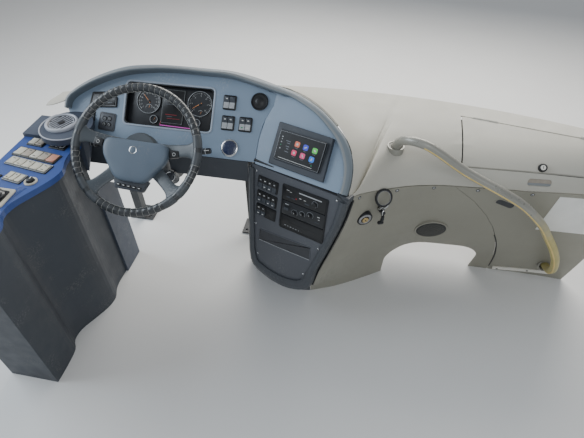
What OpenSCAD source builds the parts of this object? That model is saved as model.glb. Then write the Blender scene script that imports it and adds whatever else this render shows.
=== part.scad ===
// Bus driver's dashboard, full width, with its steering wheel and front rail
// Front is +Y (the windscreen side); the driver sits at the -Y side, left of the middle

/* [Dashboard] */
// Length of the side console behind the dashboard (mm)
console_len = 560; // [480:10:620]
// Height of the side console's top above the floor (mm)
console_h = 722; // [690:1:740]
// Radius of the windscreen line along the dashboard's front edge (mm)
screen_r = 3000; // [2600:50:3600]
// How far the instrument hood stands out over the dials (mm)
hood_out = 45; // [30:1:55]
// Wall of the moulded shells (mm)
wall = 5; // [4:0.5:6]

/* [Steering] */
// Outer diameter of the steering wheel (mm)
wheel_d = 460; // [420:5:470]
// Thickness of the wheel's rim (mm)
rim_t = 30; // [26:1:34]
// Number of spokes
spokes = 4; // [2:1:5]

/* [Fittings] */
// Diameter of the front rail's tube (mm)
rail_d = 32; // [26:1:36]
// Width of the radio's front (mm)
radio_w = 178; // [170:1:180]
// Height of the radio's front (mm)
radio_h = 102; // [98:1:106]
// Square tube of the steel frame (mm)
tube = 40; // [36:1:44]
// Rows of switches on the side console
console_rows = 4; // [2:1:4]

/* [Hidden] */
$fn = 36;
left_x = -1160;
right_x = 1040;
front_y = 540;
top_z = 745;
// Rear end of the side console
console_back = 20 - console_len;
// The origin lies at the middle of the whole: x_off and y_off move the bus's own lines to it
x_off = -(left_x + right_x) / 2;
y_off = -(front_y + console_back) / 2;

// Panel planes: a point on each, its turn about Z and its tilt from upright
drv = [-650, 200, 790];
drv_az = 0;
drv_el = 42;
up = [-140, 90, 745];
up_az = -23;
up_el = 42;
low = [-138, 20, 675];
low_az = -21.5;
low_el = 12;
whl = [-691, -22, 756];
whl_az = 3.7;
whl_el = 47.5;

function nrm(az, el) = [sin(az) * cos(el), -cos(az) * cos(el), sin(el)];
function uu(az) = [cos(az), sin(az), 0];
function vv(az, el) = [-sin(az) * sin(el), cos(az) * sin(el), cos(el)];
function on(p, az, el, q, h = 0) = p + q[0] * uu(az) + q[1] * vv(az, el) + h * nrm(az, el);
function cr(a, b, c, d, t) = 0.5 * (2 * b + (c - a) * t + (2 * a - 5 * b + 4 * c - d) * t * t
  + (3 * b - a - 3 * c + d) * t * t * t);
function smooth(p, k) = concat([for (i = [0:len(p) - 2]) for (j = [0:k - 1])
  cr(p[max(i - 1, 0)], p[i], p[i + 1], p[min(i + 2, len(p) - 1)], j / k)], [p[len(p) - 1]]);
function bz(a, b, c, d, t) = pow(1 - t, 3) * a + 3 * pow(1 - t, 2) * t * b
  + 3 * (1 - t) * t * t * c + t * t * t * d;
function unit(v) = v / norm(v);
function screen_y(x) = front_y - screen_r + sqrt(screen_r * screen_r - x * x);

module at(p, az, el) translate(p) rotate([90 - el, 0, az]) children();

// A closed sheet between an outer and an inner grid of points
module skin(a, b) {
  m = len(a);
  n = len(a[0]);
  c = m * n;
  i0 = floor(m / 2) - 1;
  j0 = floor(n / 2) - 1;
  s = cross(a[i0 + 1][j0] - a[i0][j0], a[i0][j0 + 1] - a[i0][j0]) * (a[i0][j0] - b[i0][j0]);
  ring = concat([for (i = [0:m - 2]) i * n], [for (j = [0:n - 2]) (m - 1) * n + j],
    [for (i = [m - 1:-1:1]) i * n + n - 1], [for (j = [n - 1:-1:1]) j]);
  k = len(ring);
  f = concat(
    [for (i = [0:m - 2]) for (j = [0:n - 2]) each [
      [i * n + j, i * n + j + 1, i * n + n + j + 1], [i * n + j, i * n + n + j + 1, i * n + n + j],
      [c + i * n + j, c + i * n + n + j + 1, c + i * n + j + 1],
      [c + i * n + j, c + i * n + n + j, c + i * n + n + j + 1]]],
    [for (q = [0:k - 1]) let (e = ring[q], g = ring[(q + 1) % k]) each [
      [e, g, c + g], [e, c + g, c + e]]]);
  polyhedron([for (g = [a, b]) for (r = g) for (p = r) p],
    s > 0 ? f : [for (t = f) [t[2], t[1], t[0]]]);
}

module box(x0, x1, y0, y1, z0, z1) translate([x0, y0, z0]) cube([x1 - x0, y1 - y0, z1 - z0]);
module rbox(w, h, t, r) linear_extrude(t) rsq(w, h, r);
module rsq(w, h, r) {
  square([w - 2 * r, h], center = true);
  square([w, h - 2 * r], center = true);
  for (x = [-1, 1]) for (y = [-1, 1]) translate([x * (w / 2 - r), y * (h / 2 - r)]) circle(r, $fn = 24);
}
// A round tube along a smooth path; ref is never along the path
module tube(p, r, m, ref) {
  n = len(p);
  rings = [for (i = [0:n - 1]) let (d = unit(p[min(i + 1, n - 1)] - p[max(i - 1, 0)]), e = unit(cross(d, ref)),
    f = cross(d, e)) for (k = [0:m - 1]) p[i] + r * (cos(k * 360 / m) * e + sin(k * 360 / m) * f)];
  polyhedron(rings, concat([[for (k = [0:m - 1]) k]],
    [for (i = [0:n - 2]) for (k = [0:m - 1]) let (j = (k + 1) % m) each [
      [i * m + k, i * m + m + j, i * m + j], [i * m + k, i * m + m + k, i * m + m + j]]],
    [[for (k = [m - 1:-1:0]) (n - 1) * m + k]]));
}

// A polygon with its corners rounded off over a length r
function soft(p, r, k) = [for (i = [0:len(p) - 1]) let (a = p[(i + len(p) - 1) % len(p)], b = p[i],
  c = p[(i + 1) % len(p)], s = b + unit(a - b) * r, e = b + unit(c - b) * r)
  for (j = [0:k]) let (t = j / k) (1 - t) * (1 - t) * s + 2 * t * (1 - t) * b + t * t * e];
function shift(g, v) = [for (r = g) [for (p = r) p + v]];

// Band across a rim: share of the width, height, and the step to its inner face
function band(a, b, n, hs, prof, k) = let (p = smooth(a, k), q = smooth(b, k), m = smooth(n, k), h = smooth(hs, k))
  [for (f = [0, 1]) [for (i = [0:len(p) - 1]) let (e = unit(q[i] - p[i]), w = norm(q[i] - p[i]))
    [for (c = prof) p[i] + e * (c[0] * w + f * c[2]) + unit(m[i]) * (c[1] * (c[1] > 1 ? h[i] : 1) + f * c[3])]]];

// Instrument hood: inner edge, outer edge and height share; first on the driver's panel, then on the pod
hood_a = [[[-387, -40], [-408, -40], 0.7], [[-372, 2], [-395, 12], 0.8], [[-287, 58], [-302, 80], 0.95],
  [[-177, 103], [-184, 130], 1], [[-80, 121], [-82, 147], 1], [[7, 129], [10, 153], 1], [[129, 126], [132, 150], 1],
  [[214, 112], [222, 137], 0.95, 0.7], [[292, 95], [302, 119], 0.8, 1.7]];
hood_b = [[[-163, 156], [-158, 182], 0.55, 6], [[-122, 160], [-117, 182], 0.48, 1.5], [[-79, 157], [-70, 178], 0.44, 0],
  [[-17, 143], [-12, 165], 0.4, 0], [[30, 124], [37, 147], 0.37, 0], [[72, 101], [84, 123], 0.35, 0],
  [[103, 79], [121, 98], 0.33, 0], [[131, 53], [152, 71], 0.31, 0], [[152, 28], [174, 43], 0.3, 0],
  [[168, 1], [191, 13], 0.29, 0], [[179, -27], [201, -17], 0.28, 0], [[186, -55], [208, -48], 0.28, 0],
  [[189, -83], [213, -81], 0.28, 0]];
function lift(q) = len(q) > 3 ? q[3] : 0;
hood_pin = concat([for (q = hood_a) on(drv, drv_az, drv_el, q[0], lift(q))], [for (q = hood_b) on(up, up_az, up_el, q[0], q[3])]);
hood_pex = concat([for (q = hood_a) on(drv, drv_az, drv_el, q[1], lift(q))], [for (q = hood_b) on(up, up_az, up_el, q[1], q[3])]);
hood_nrm = concat([for (q = hood_a) nrm(drv_az, drv_el)], [for (q = hood_b) nrm(up_az, up_el)]);
hood_hs = concat([for (q = hood_a) q[2]], [for (q = hood_b) q[2]]);
hood_prof = [[0, 0.4, wall, 0], [0, hood_out - 7, wall, -1.2], [0.08, hood_out - 2, wall * 0.7, -wall * 0.8],
  [0.28, hood_out, 0, -wall], [0.6, hood_out * 0.84, -1, -wall], [0.9, hood_out * 0.5, -wall * 0.6, -wall * 0.7],
  [1, hood_out * 0.2, -wall, -1], [1, -18, -wall, 0]];
module hood() color([0.24, 0.25, 0.26]) {
  g = band(hood_pin, hood_pex, hood_nrm, hood_hs, hood_prof, 4);
  skin(g[0], g[1]);
}

// Top shell: rear edge, leaving direction and front x of each row; the middle rows start at the hood
hood_fx = [0, -1040, -960, -840, -720, -595, -475, -385, -310, -240, -200, -160, -110, -62, -15, 28, 68, 100, 128, 150, 168, 184];
top_rows = concat([[[-1158, 190, 752], [0, 40, 10], -1158], [[-1090, 205, 768], [0, 40, 10], -1100]],
  [for (i = [2:len(hood_pin) - 1]) let (e = unit(hood_pex[i] - hood_pin[i]), n = hood_nrm[i])
    [hood_pex[i] + 3 * e - 9 * n, 25 * e - 60 * n, hood_fx[i]]],
  [[[56, -26, 672], [34, 50, 22], 203], [[74, 2, 661], [28, 46, 46], 222], [[104, 40, 643], [16, 38, 68], 250],
  [[146, 82, 624], [4, 26, 86], 285], [[234, 122, 622], [0, 16, 92], 340], [[334, 148, 622], [0, 12, 94], 410],
  [[450, 160, 622], [0, 10, 94], 500], [[570, 169, 622], [0, 10, 94], 600], [[700, 180, 622], [0, 10, 94], 715],
  [[843, 194, 622], [0, 10, 92], 850], [[1038, 212, 622], [0, 10, 90], 1038]]);
steps = [0, 0.07, 0.15, 0.24, 0.36, 0.5, 0.65, 0.82, 1];
function top_line(r, s) = let (f = [r[2], screen_y(r[2]), top_z], d = [f[0] - r[0][0], f[1] - r[0][1], 0])
  bz(r[0], r[0] + r[1], f - 0.5 * d + [0, 0, 2], f, s);
top_g = let (ex = smooth([for (q = top_rows) q[0]], 2), tx = smooth([for (q = top_rows) q[1]], 2),
  fx = smooth([for (q = top_rows) q[2]], 2))
  [for (i = [0:len(ex) - 1]) [for (s = steps) top_line([ex[i], tx[i], fx[i]], s)]];
// The face t below a grid, square to it in each fore-and-aft plane; its first line leans clear of the hood
function under(g, t) = [for (i = [0:len(g) - 1]) [for (j = [0:len(g[i]) - 1]) let (
  a = g[min(i + 1, len(g) - 1)][j] - g[max(i - 1, 0)][j],
  b = g[i][min(j + 1, len(g[i]) - 1)] - g[i][max(j - 1, 0)], n = cross(a, b))
  g[i][j] + t * (j == 0 ? [0, 0.7, -0.8] : -unit([0, n[1], n[2]]))]];
under_g = under(top_g, wall);
module top_shell() skin(top_g, under_g);
// Rows i to j of a grid; what lies below the top shell's upper face, and above its lower face
function rows(g, i, j) = [for (k = [max(0, i):min(j, len(g) - 1)]) g[k]];
module below_top(i, j) skin(shift(rows(top_g, i, j), [0, -0.2, 0.25]), shift(rows(top_g, i, j), [0, 40, -70]));
module above_top(i, j) skin(shift(rows(top_g, i, j), [0, -30, 160]),
  rows(under(top_g, wall + 0.4), i, j));
top_n = len(top_g) - 1;

// Plan of the lid, from its hinge corner, shrunk by the gap g
hinge_p = [412, 428, 741];
hinge_az = -9.5;
lid_len = 560;
lid_rear = -238;
module lid_plan(g) translate([hinge_p[0], hinge_p[1], 500]) linear_extrude(500)
  polygon([[g, -g - g * 0.17], [lid_len - g, lid_len * tan(hinge_az) - g], [lid_len - g, lid_rear + 30 + g],
    [g, lid_rear + g]]);
// Two hinges on the lid's front edge: places along the axis; lug stands along the axis over a length h
hinge_at = [90, lid_len - 100];
pin_r = 2.2;
lug_r = 5.5;
lug_l = 30;
module hinge(t) translate(hinge_p) rotate([0, 0, hinge_az]) translate([t, 0, 0]) children();
module lug(x, h, r) translate([x, 0, 0]) rotate([0, 90, 0]) cylinder(h = h, r = r, center = true);
// Finger grip moulded into the shell under the lid's edge
module grip() intersection() {
  translate([grip_at[0], grip_at[1] + 200, grip_at[2]]) rotate([90, 0, 0]) linear_extrude(400) rsq(80, 24, 10);
  skin(shift(rows(top_g, top_n - 12, top_n - 2), [0, -20, 20]), rows(under(top_g, wall * 0.6), top_n - 12, top_n - 2));
}
grip_at = [684, 200, 652];
module cowl() color([0.62, 0.62, 0.58]) {
  difference() {
    top_shell();
    grip();
    lid_plan(0);
    translate([180, 212, 600]) cylinder(h = 200, r = rail_d / 2 + 2);
    for (t = hinge_at) hinge(t) lug(0, lug_l + 1, lug_r + 0.6);
  }
  for (t = hinge_at) hinge(t) {
    lug(0, 2 * lug_l, pin_r);
    for (s = [-1, 1]) {
      lug(s * lug_l, lug_l - 2, lug_r);
      translate([s * lug_l - lug_l / 2 + 1, 1, -7]) cube([lug_l - 2, 20, 6]);
    }
  }
}
module lid() color([0.66, 0.66, 0.62]) union() {
  difference() {
    intersection() {
      skin(rows(top_g, top_n - 13, top_n), rows(under_g, top_n - 13, top_n));
      lid_plan(5);
    }
    for (t = hinge_at) hinge(t) for (s = [-1, 1]) lug(s * lug_l, lug_l, lug_r + 1.5);
  }
  for (t = hinge_at) hinge(t) difference() {
    union() {
      lug(0, lug_l, lug_r);
      translate([-lug_l / 2, -24, -7]) cube([lug_l, 23, 6]);
    }
    lug(0, 2 * lug_l, pin_r + 0.3);
  }
}
module lid_lock() color([0.2, 0.2, 0.21]) difference() {
  translate([684, 222, 690]) rotate([42, 0, 0]) cylinder(h = 30, r = 14, center = true);
  below_top(top_n - 8, top_n - 2);
}

// Driver's panel; the seam to the pod is shared by both panels
seam = [[404, 84], [394, 55], [362, -3], [346, -75], [342, -160]];
function to_uv(p, o, az, el) = [(p - o) * uu(az), (p - o) * vv(az, el)];
function half(q, f) = [for (r = q) r[0] + (r[1] - r[0]) * f];
panel_pts = concat(smooth(half(hood_a, 0.6), 3), smooth([for (q = seam) q - [1, 0]], 3), [[-352, -160]]);
// Way through the panel and the fascia for the column's shroud and its lock
module column_way() at(whl, whl_az, whl_el) {
  translate([0, -4, -500]) rbox(112, 104, 440, 20);
  translate([lock_at[0], lock_at[1], -300]) cylinder(h = 160, r = 28);
}
module driver_panel() color([0.36, 0.41, 0.45]) difference() {
  at(drv, drv_az, drv_el) difference() {
    union() {
      translate([0, 0, -wall]) linear_extrude(wall) polygon(panel_pts);
      translate([0, 0, -2 * wall]) linear_extrude(wall + 1) polygon(concat([for (q = seam) q - [9, 0]],
        [for (i = [4:-1:0]) seam[i] + [8, 0]]));
    }
    translate([-5, 6, -20]) rbox(344, 164, 40, 22);
  }
  column_way();
}
module cluster() color([0.07, 0.07, 0.08]) at(drv, drv_az, drv_el) translate([-5, 6, 0]) difference() {
  translate([0, 0, -46]) rbox(343.4, 163.4, 47, 21.7);
  translate([0, 0, -20]) rbox(328, 148, 40, 16);
}
// Dials: place and radius
dial_list = [[-79, 22, 47], [115, 21, 46], [-28, -50, 15], [68, -50, 15]];
module dials() color([0.75, 0.76, 0.78]) at(drv, drv_az, drv_el) translate([-5, 6, -20]) {
  for (d = dial_list) translate([d[0], d[1], 0.2]) difference() {
    cylinder(h = 8, r = d[2]);
    translate([0, 0, 4]) cylinder(h = 8, r = d[2] - 4);
  }
  translate([19, 2, 0.2]) rbox(70, 94, 7, 4);
}
rocker_list = [[224, 41], [226, -32], [291, -31]];
module rockers() color([0.1, 0.1, 0.11]) at(drv, drv_az, drv_el) {
  for (r = rocker_list) translate([r[0], r[1], 0.2]) {
    rbox(48, 52, 3, 4);
    for (x = [-11, 11]) translate([x, 0, 2.9]) rbox(19, 42, 6, 2);
  }
  translate([-299, -58, 0.2]) rbox(20, 36, 6, 3);
}
module plug() color([0.1, 0.1, 0.11]) at(drv, drv_az, drv_el) translate([333, 55, 0.2]) difference() {
  cylinder(h = 7, r = 31);
  translate([0, 0, 3]) cylinder(h = 8, r = 26);
}
module round_badge() color([0.55, 0.56, 0.58]) at(drv, drv_az, drv_el) translate([243, -120, 0.2]) {
  cylinder(h = 3, r = 32);
  cylinder(h = 5, r = 27);
}
module keypad() color([0.12, 0.12, 0.13]) at(drv, drv_az, drv_el) {
  translate([-238, -74, 0.2]) rbox(64, 60, 4, 8);
  for (x = [-1, 1]) for (y = [-1, 1]) translate([-238 + 14 * x, -74 + 13 * y, 4]) cylinder(h = 5, r = 10);
  translate([-262, 12, 0.2]) rbox(96, 44, 5, 4);
}

// Fascia under the driver's panel, with the opening for the steering column
panel_foot = on(drv, drv_az, drv_el, [0, -160], -wall);
fascia_y = panel_foot[1] - 2;
module driver_fascia() color([0.3, 0.33, 0.36]) difference() {
  box(-1008, -336, fascia_y, fascia_y + wall, 575, panel_foot[2] - 0.5);
  column_way();
}

// Pod's lower rim: inner and outer edge on the lower plane, right side first
rim_b = [[[166, -14], [195, -14]], [[154, -120], [181, -116]], [[121, -252], [151, -243]], [[95, -345], [123, -350]],
  [[78, -402], [107, -440]], [[42, -432], [49, -480]], [[-28, -444], [-24, -494]], [[-104, -432], [-109, -478]],
  [[-142, -400], [-166, -430]], [[-161, -260], [-186, -264]], [[-181, -20], [-206, -20]]];
rim_prof = [[0, 0.4, wall, 0], [0, 7, wall, -1], [0.2, 10, wall * 0.5, -wall * 0.9], [0.55, 11, 0, -wall],
  [0.88, 6, -wall * 0.6, -wall * 0.7], [1, -3, -wall, -1], [1, -42, -wall, 0]];
module pod_rim() color([0.22, 0.23, 0.24]) {
  g = band([for (q = rim_b) on(low, low_az, low_el, q[0])], [for (q = rim_b) on(low, low_az, low_el, q[1])],
    [for (q = rim_b) nrm(low_az, low_el)], [for (q = rim_b) 1], rim_prof, 3);
  skin(g[0], g[1]);
}
up_seam = [for (q = seam) to_uv(on(drv, drv_az, drv_el, q), up, up_az, up_el) + [1.4, 0]];
up_pts = concat(smooth(half([for (i = [2:len(hood_b) - 1]) hood_b[i]], 0.5), 3), [[196, -84], [-152, -101]],
  [for (i = [3:-1:1]) up_seam[i]], [[-156, 136], [-148, 152]]);
module pod_upper() color([0.36, 0.41, 0.45]) at(up, up_az, up_el)
  translate([0, 0, -wall]) linear_extrude(wall) polygon(up_pts);
lo_pts = concat([[180, -3]], smooth(half(rim_b, 0.5), 3), [[-193, -8]]);
module pod_lower() color([0.25, 0.26, 0.27]) at(low, low_az, low_el) difference() {
  union() {
    translate([0, 0, -wall]) linear_extrude(wall) polygon(lo_pts);
    translate([-178, -22, -4 * wall]) cube([346, 8, 4 * wall - 1]);
  }
  translate([36, -125, -20]) rbox(182, 180, 40, 4);
}
// Left cheek of the pod, back from the lower rim
module pod_cheek() color([0.2, 0.2, 0.21]) at(low, low_az, low_el) translate([0, 0, -230])
  linear_extrude(187.5) polygon([[-206, -20], [-186, -264], [-166, -420], [-161, -420], [-181, -264], [-201, -20]]);
module radio() color([0.08, 0.08, 0.09]) at(up, up_az, up_el) translate([5, 0, 0.4]) {
  difference() {
    linear_extrude(20) polygon([[-115, 68], [96, 76], [116, -71], [-104, -80]]);
    translate([0, 0, 20]) rotate([7, 0, 3]) translate([-150, -120, 0]) cube([300, 240, 60]);
    translate([0, -1, 12]) rotate([7, 0, 3]) rbox(radio_w + 2, radio_h + 2, 40, 4);
  }
  translate([0, -1, 12.3]) rotate([7, 0, 3]) rbox(radio_w, radio_h, 9, 3);
}
// Three frames of four keys; the lowest holds two keys and a blank
key_w = 19.5;
key_pitch = 54;
module pod_switches() color([0.1, 0.1, 0.11]) at(low, low_az, low_el) translate([-117, -124, 0.2])
  for (r = [-1:1]) translate([0, r * key_pitch, 0]) {
    rbox(4 * key_w + 8, 49, 3, 4);
    for (i = [0:r < 0 ? 1 : 3]) translate([(i - 1.5) * key_w, 0, 2.9]) rbox(key_w - 1.5, 42, 6, 2);
    if (r < 0) translate([key_w, 0, 2.9]) rbox(2 * key_w - 1.5, 42, 2, 2);
  }
module din_stack() color([0.09, 0.09, 0.1]) at(low, low_az, low_el) translate([36, -125, 0]) {
  difference() {
    translate([0, 0, -60]) rbox(181.4, 179.4, 64, 3.7);
    for (y = [-59, 0, 59]) translate([0, y, -2]) rbox(174, 52, 20, 2);
  }
  translate([0, 59, -2.2]) rbox(172, 50, 5, 2);
  translate([0, 0, -2.2]) rbox(172, 50, 3, 2);
}
module badge_plate() color([0.15, 0.15, 0.16]) at(low, low_az, low_el) translate([-23, -294, 0.2])
  rbox(226, 52, 2.5, 5);

// Foot of the pod: floor point and the pod's lower edge of each row, rolling under the rim
function foot_edge(s) = bz([-85.5, 72, 0], [-85, 54, 66], [-76, -12, 130], [-66, -54, 203], s);
foot_rows = [[[-384, 201, 0], [-308, 40, 246]], [[-328, 150, 0], [-291, 24, 221]], [[-227, 84, 0], [-262, 4, 199]],
  [[-160, 68, 0], [-184, -30, 181.5]], [[-118, 66, 0], [-116, -54, 194]]];
module pod_plinth() color([0.2, 0.2, 0.21]) {
  r = smooth([for (q = foot_rows) q[0]], 3);
  t = smooth([for (q = foot_rows) q[1] - [0, -0.4, 2.3]], 3);
  st = [0, 0.17, 0.34, 0.5, 0.66, 0.83, 1];
  g = concat([for (i = [0:len(r) - 1]) [for (f = st) bz(r[i], r[i] + [0, -10, 66], t[i] + [0, 44, -40], t[i], f)]],
    [[for (f = st) foot_edge(f)]]);
  skin(g, shift(g, [-0.5, wall, 1]));
}

// Panels below the top shell on the right: top and floor point of each row
knee_rows = [[[57.5, -26, 667], [-84, 72, 0]], [[74, 2, 656], [-34, 92, 0]], [[104, 40, 638], [32, 122, 0]],
  [[146, 82, 619], [120, 176, 0]], [[234, 122, 617.2], [222, 245, 0]], [[334, 148, 617.2], [330, 325, 0]],
  [[372, 153, 617.2], [450, 346, 0]], [[405, 157, 617.2], [710, 352, 0]]];
// The seam to the side panel swings out; share s of the way down, and share w of the swing
seam_swing = 90;
function swing(s, w) = w * seam_swing * sin(180 * pow(s, 0.8)) * [1, 0.055, 0];
// Left edge beside the pod's rim, from the top down
knee_left = concat([[57.5, -26, 667]], [for (i = [1:4]) on(low, low_az, low_el, rim_b[i][1] + [7.2, 0], -24)],
  [for (f = [1, 0.66, 0.33, 0]) foot_edge(f) + [1.4 + f, 0, 0]]);
function sheet(rows, k, bow) = let (p = smooth([for (r = rows) r[0]], k), q = smooth([for (r = rows) r[1]], k))
  [for (i = [0:len(p) - 1]) [for (j = [0:8]) let (s = j / 8)
    p[i] + (q[i] - p[i]) * s + [0, -bow * sin(180 * s), 0]]];
knee_g = let (g = sheet(knee_rows, 3, 12), m = len(g)) [for (i = [0:m - 1]) let (w = pow(max(0, 1 - i / 13), 2))
  [for (j = [0:8]) g[i][j] + w * (knee_left[j] - g[0][j]) + swing(j / 8, max(0, (i - m + 4) / 3))]];
module behind_knee(i, j) skin(shift(rows(knee_g, i, j), [0, -0.3, 0]), shift(rows(knee_g, i, j), [0, 60, 0]));
module arch() translate([422, 600, 60]) rotate([90, 0, 0]) linear_extrude(600) rsq(404, 280, 90);
module knee_panel() color([0.43, 0.42, 0.38]) difference() {
  skin(knee_g, shift(knee_g, [0, wall, -0.2]));
  arch();
}
side_rows = [[[406.6, 157.3, 617.2], [712, 352, 0]], [[600, 171, 617.2], [790, 353, 0]],
  [[715, 181, 617.2], [860, 353.5, 0]], [[843, 194, 617.2], [930, 352, 0]], [[1038, 212, 617.2], [1038, 347, 0]]];
side_g = let (g = sheet(side_rows, 3, 12)) [for (i = [0:len(g) - 1]) [for (j = [0:8])
  g[i][j] + swing(j / 8, max(0, 1 - i / 3))]];
module behind_side(i, j) skin(shift(rows(side_g, i, j), [0, -0.3, 0]), shift(rows(side_g, i, j), [0, 60, 0]));
module side_panel() color([0.45, 0.44, 0.4]) skin(side_g, shift(side_g, [0, wall, -0.2]));
// Kick strip: it rises a little to the right of the seam's foot
kick_rise = 0.12;
left_foot = side_g[0][8][0];
module kick_strip() color([0.7, 0.71, 0.72]) {
  g = [for (i = [1:10]) let (a = side_g[i][8], b = side_g[i][7] - a) [for (z = [34, 21, 8])
    a + b * (z + (a[0] - left_foot) * kick_rise) / b[2]]];
  skin(shift(g, [0, -6, 0]), shift(g, [0, -0.4, 0]));
}
module knee_vent() color([0.12, 0.12, 0.13]) difference() {
  translate([382, 200, 345]) rotate([104, 0, 8]) difference() {
    translate([0, 0, -20]) cylinder(h = 40, r = 62);
    for (y = [-36:18:36]) translate([-45, y - 4, 14]) cube([90, 8, 10]);
  }
  behind_knee(12, 20);
}
module ring_holder() color([0.75, 0.76, 0.78]) difference() {
  union() {
    translate([160, 62, 548]) rotate([20, 0, 30]) rotate_extrude() translate([36, 0]) circle(3, $fn = 16);
    translate([156, 120, 556]) rotate([90, 0, 20]) cylinder(h = 62, r = 12);
  }
  behind_knee(5, 14);
}

// Front rail: a path beside the panels, and a boot at each end; the top shell's row under its foot
rail_row = top_n - 15;
rail_pts = [[180, 212, 706], [186, 190, 756], [214, 152, 792], [260, 128, 800], [310, 121, 780], [413, 110, 722],
  [553, 94, 662], [625, 100, 618], [685, 120, 560], [742, 140, 496], [790, 162, 425], [840, 182, 350],
  [880, 200, 275], [905, 220, 200], [914, 256, 150], [917, 300, 124], [917, 330, 116]];
module rail() color([0.5, 0.51, 0.52]) difference() {
  tube(smooth(rail_pts, 2), rail_d / 2, 14, [0.5, 0.5, 0.7]);
  behind_side(6, 12);
  below_top(rail_row - 4, rail_row + 4);
}
module rail_feet() color([0.12, 0.12, 0.13]) {
  difference() {
    translate([180, 212, 680]) cylinder(h = 46, r = rail_d / 2 + 14);
    translate([180, 212, 600]) cylinder(h = 200, r = rail_d / 2 + 9);
    below_top(rail_row - 4, rail_row + 4);
  }
  difference() {
    translate([917, 340, 118]) rotate([84, 0, 0]) cylinder(h = 40, r = rail_d / 2 + 14);
    translate([917, 345, 118]) rotate([84, 0, 0]) cylinder(h = 90, r = rail_d / 2 + 9);
    behind_side(6, 12);
  }
}

// Side console
// Places behind the waist follow the console's length
waist_y = -135;
function back(y) = y < waist_y ? waist_y + (y - waist_y) * (console_back - waist_y) / (-540 - waist_y) : y;
console_pts = smooth([for (q = [[-934, 21.7], [-936, -40], [-930, -85], [-912, -135], [-922, -190], [-950, -250],
  [-978, -310], [-980, -360], [-956, -402], [-950, -470], [-950, -540]]) [q[0], back(q[1])]], 3);
module console_shape(x0, g) polygon(concat([for (p = console_pts) p + [-g, 0]], [[x0, console_back], [x0, 21.7]]));
module console_top() color([0.13, 0.19, 0.42]) translate([0, 0, console_h - 22]) linear_extrude(22)
  console_shape(left_x + 8, 0);
module console_body() color([0.36, 0.38, 0.4]) difference() {
  linear_extrude(console_h - 22.3) console_shape(left_x, 14);
  translate([0, 0, -1]) intersection() {
    linear_extrude(console_h - 22) console_shape(left_x + wall, 14 + wall);
    box(left_x - 10, 0, console_back + wall, 21, 0, console_h);
  }
}
// Switch blocks on the console: middle, size, turn and number of switches
blocks = [[-1082, -9, 64, 44, -6, 2], [-996, -20, 72, 36, -6, 3], [-1040, -76, 172, 46, -8, 5], [-1038, -130, 168, 42, -9, 5],
  [-1040, -200, 70, 44, -10, 3]];
module console_frames() color([0.05, 0.05, 0.06]) for (b = blocks)
  translate([b[0], b[1], console_h + 0.2]) rotate([0, 0, b[4]]) rbox(b[2], b[3], 3, 3);
module console_switches() color([0.85, 0.83, 0.74]) for (r = [0:min(console_rows, 4)]) let (b = blocks[r], w = (b[2] - 4) / b[5])
  translate([b[0], b[1], console_h + 3.4]) rotate([0, 0, b[4]]) for (i = [0:b[5] - 1])
    translate([(i - (b[5] - 1) / 2) * w, 0, 0]) rbox(w - 4, b[3] - 6, 5, 2);
module console_lever() color([0.06, 0.06, 0.07]) translate([-1040, back(-298), console_h]) {
  translate([0, 0, 0.2]) rbox(86, 80, 8, 6);
  translate([0, 0, 8]) cylinder(h = 40, r = 9);
  translate([0, 0, 58]) sphere(17);
  translate([62, 90, 0.2]) cylinder(h = 12, r = 17);
}
module console_grille() color([0.1, 0.1, 0.11]) translate([-1040, back(-420), console_h + 0.2]) difference() {
  rbox(120, 110, 6, 6);
  for (y = [-40:16:40]) translate([-48, y - 3, 2]) cube([96, 6, 10]);
}
// Corner pod between the console and the windscreen pillar, with the round ear of the air nozzle
panel_left = -938;
corner_w = panel_left - left_x - 5;
corner_h = top_z - 10;
ear = [left_x + 128, 70];
module corner_pod() color([0.36, 0.41, 0.45]) difference() {
  union() {
    box(left_x + 5, left_x + 5 + corner_w, 22, 146, 0, corner_h);
    translate([ear[0], ear[1], corner_h - 1]) cylinder(h = 23, r = 96, $fn = 72);
  }
  box(left_x + 5 + wall, left_x + 5 + corner_w - wall, 22 + wall, 146 - wall, -1, corner_h - wall);
  at(drv, drv_az, drv_el) translate([-440, -300, -300]) cube([440, 500, 301]);
}
module air_nozzle() color([0.1, 0.1, 0.11]) translate([ear[0] + 4, ear[1] - 4, corner_h + 22.2]) {
  difference() {
    cylinder(h = 14, r = 62);
    translate([0, 0, 6]) cylinder(h = 20, r = 50);
  }
  translate([0, 0, 6]) cylinder(h = 10, r = 34);
}

// Heater box under the cross beam
module heater() color([0.2, 0.2, 0.21]) box(120, 700, 362, 480, 200, 559.7);

// Steel frame: cross beam, legs with foot plates, struts to the shells
beam_y = 360;
beam_z = 560;
legs = [-1020, -420, 60, 860];
module strut(x, y0, z) box(x - 14, x + 14, y0, beam_y + 1, z, z + 28);
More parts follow.
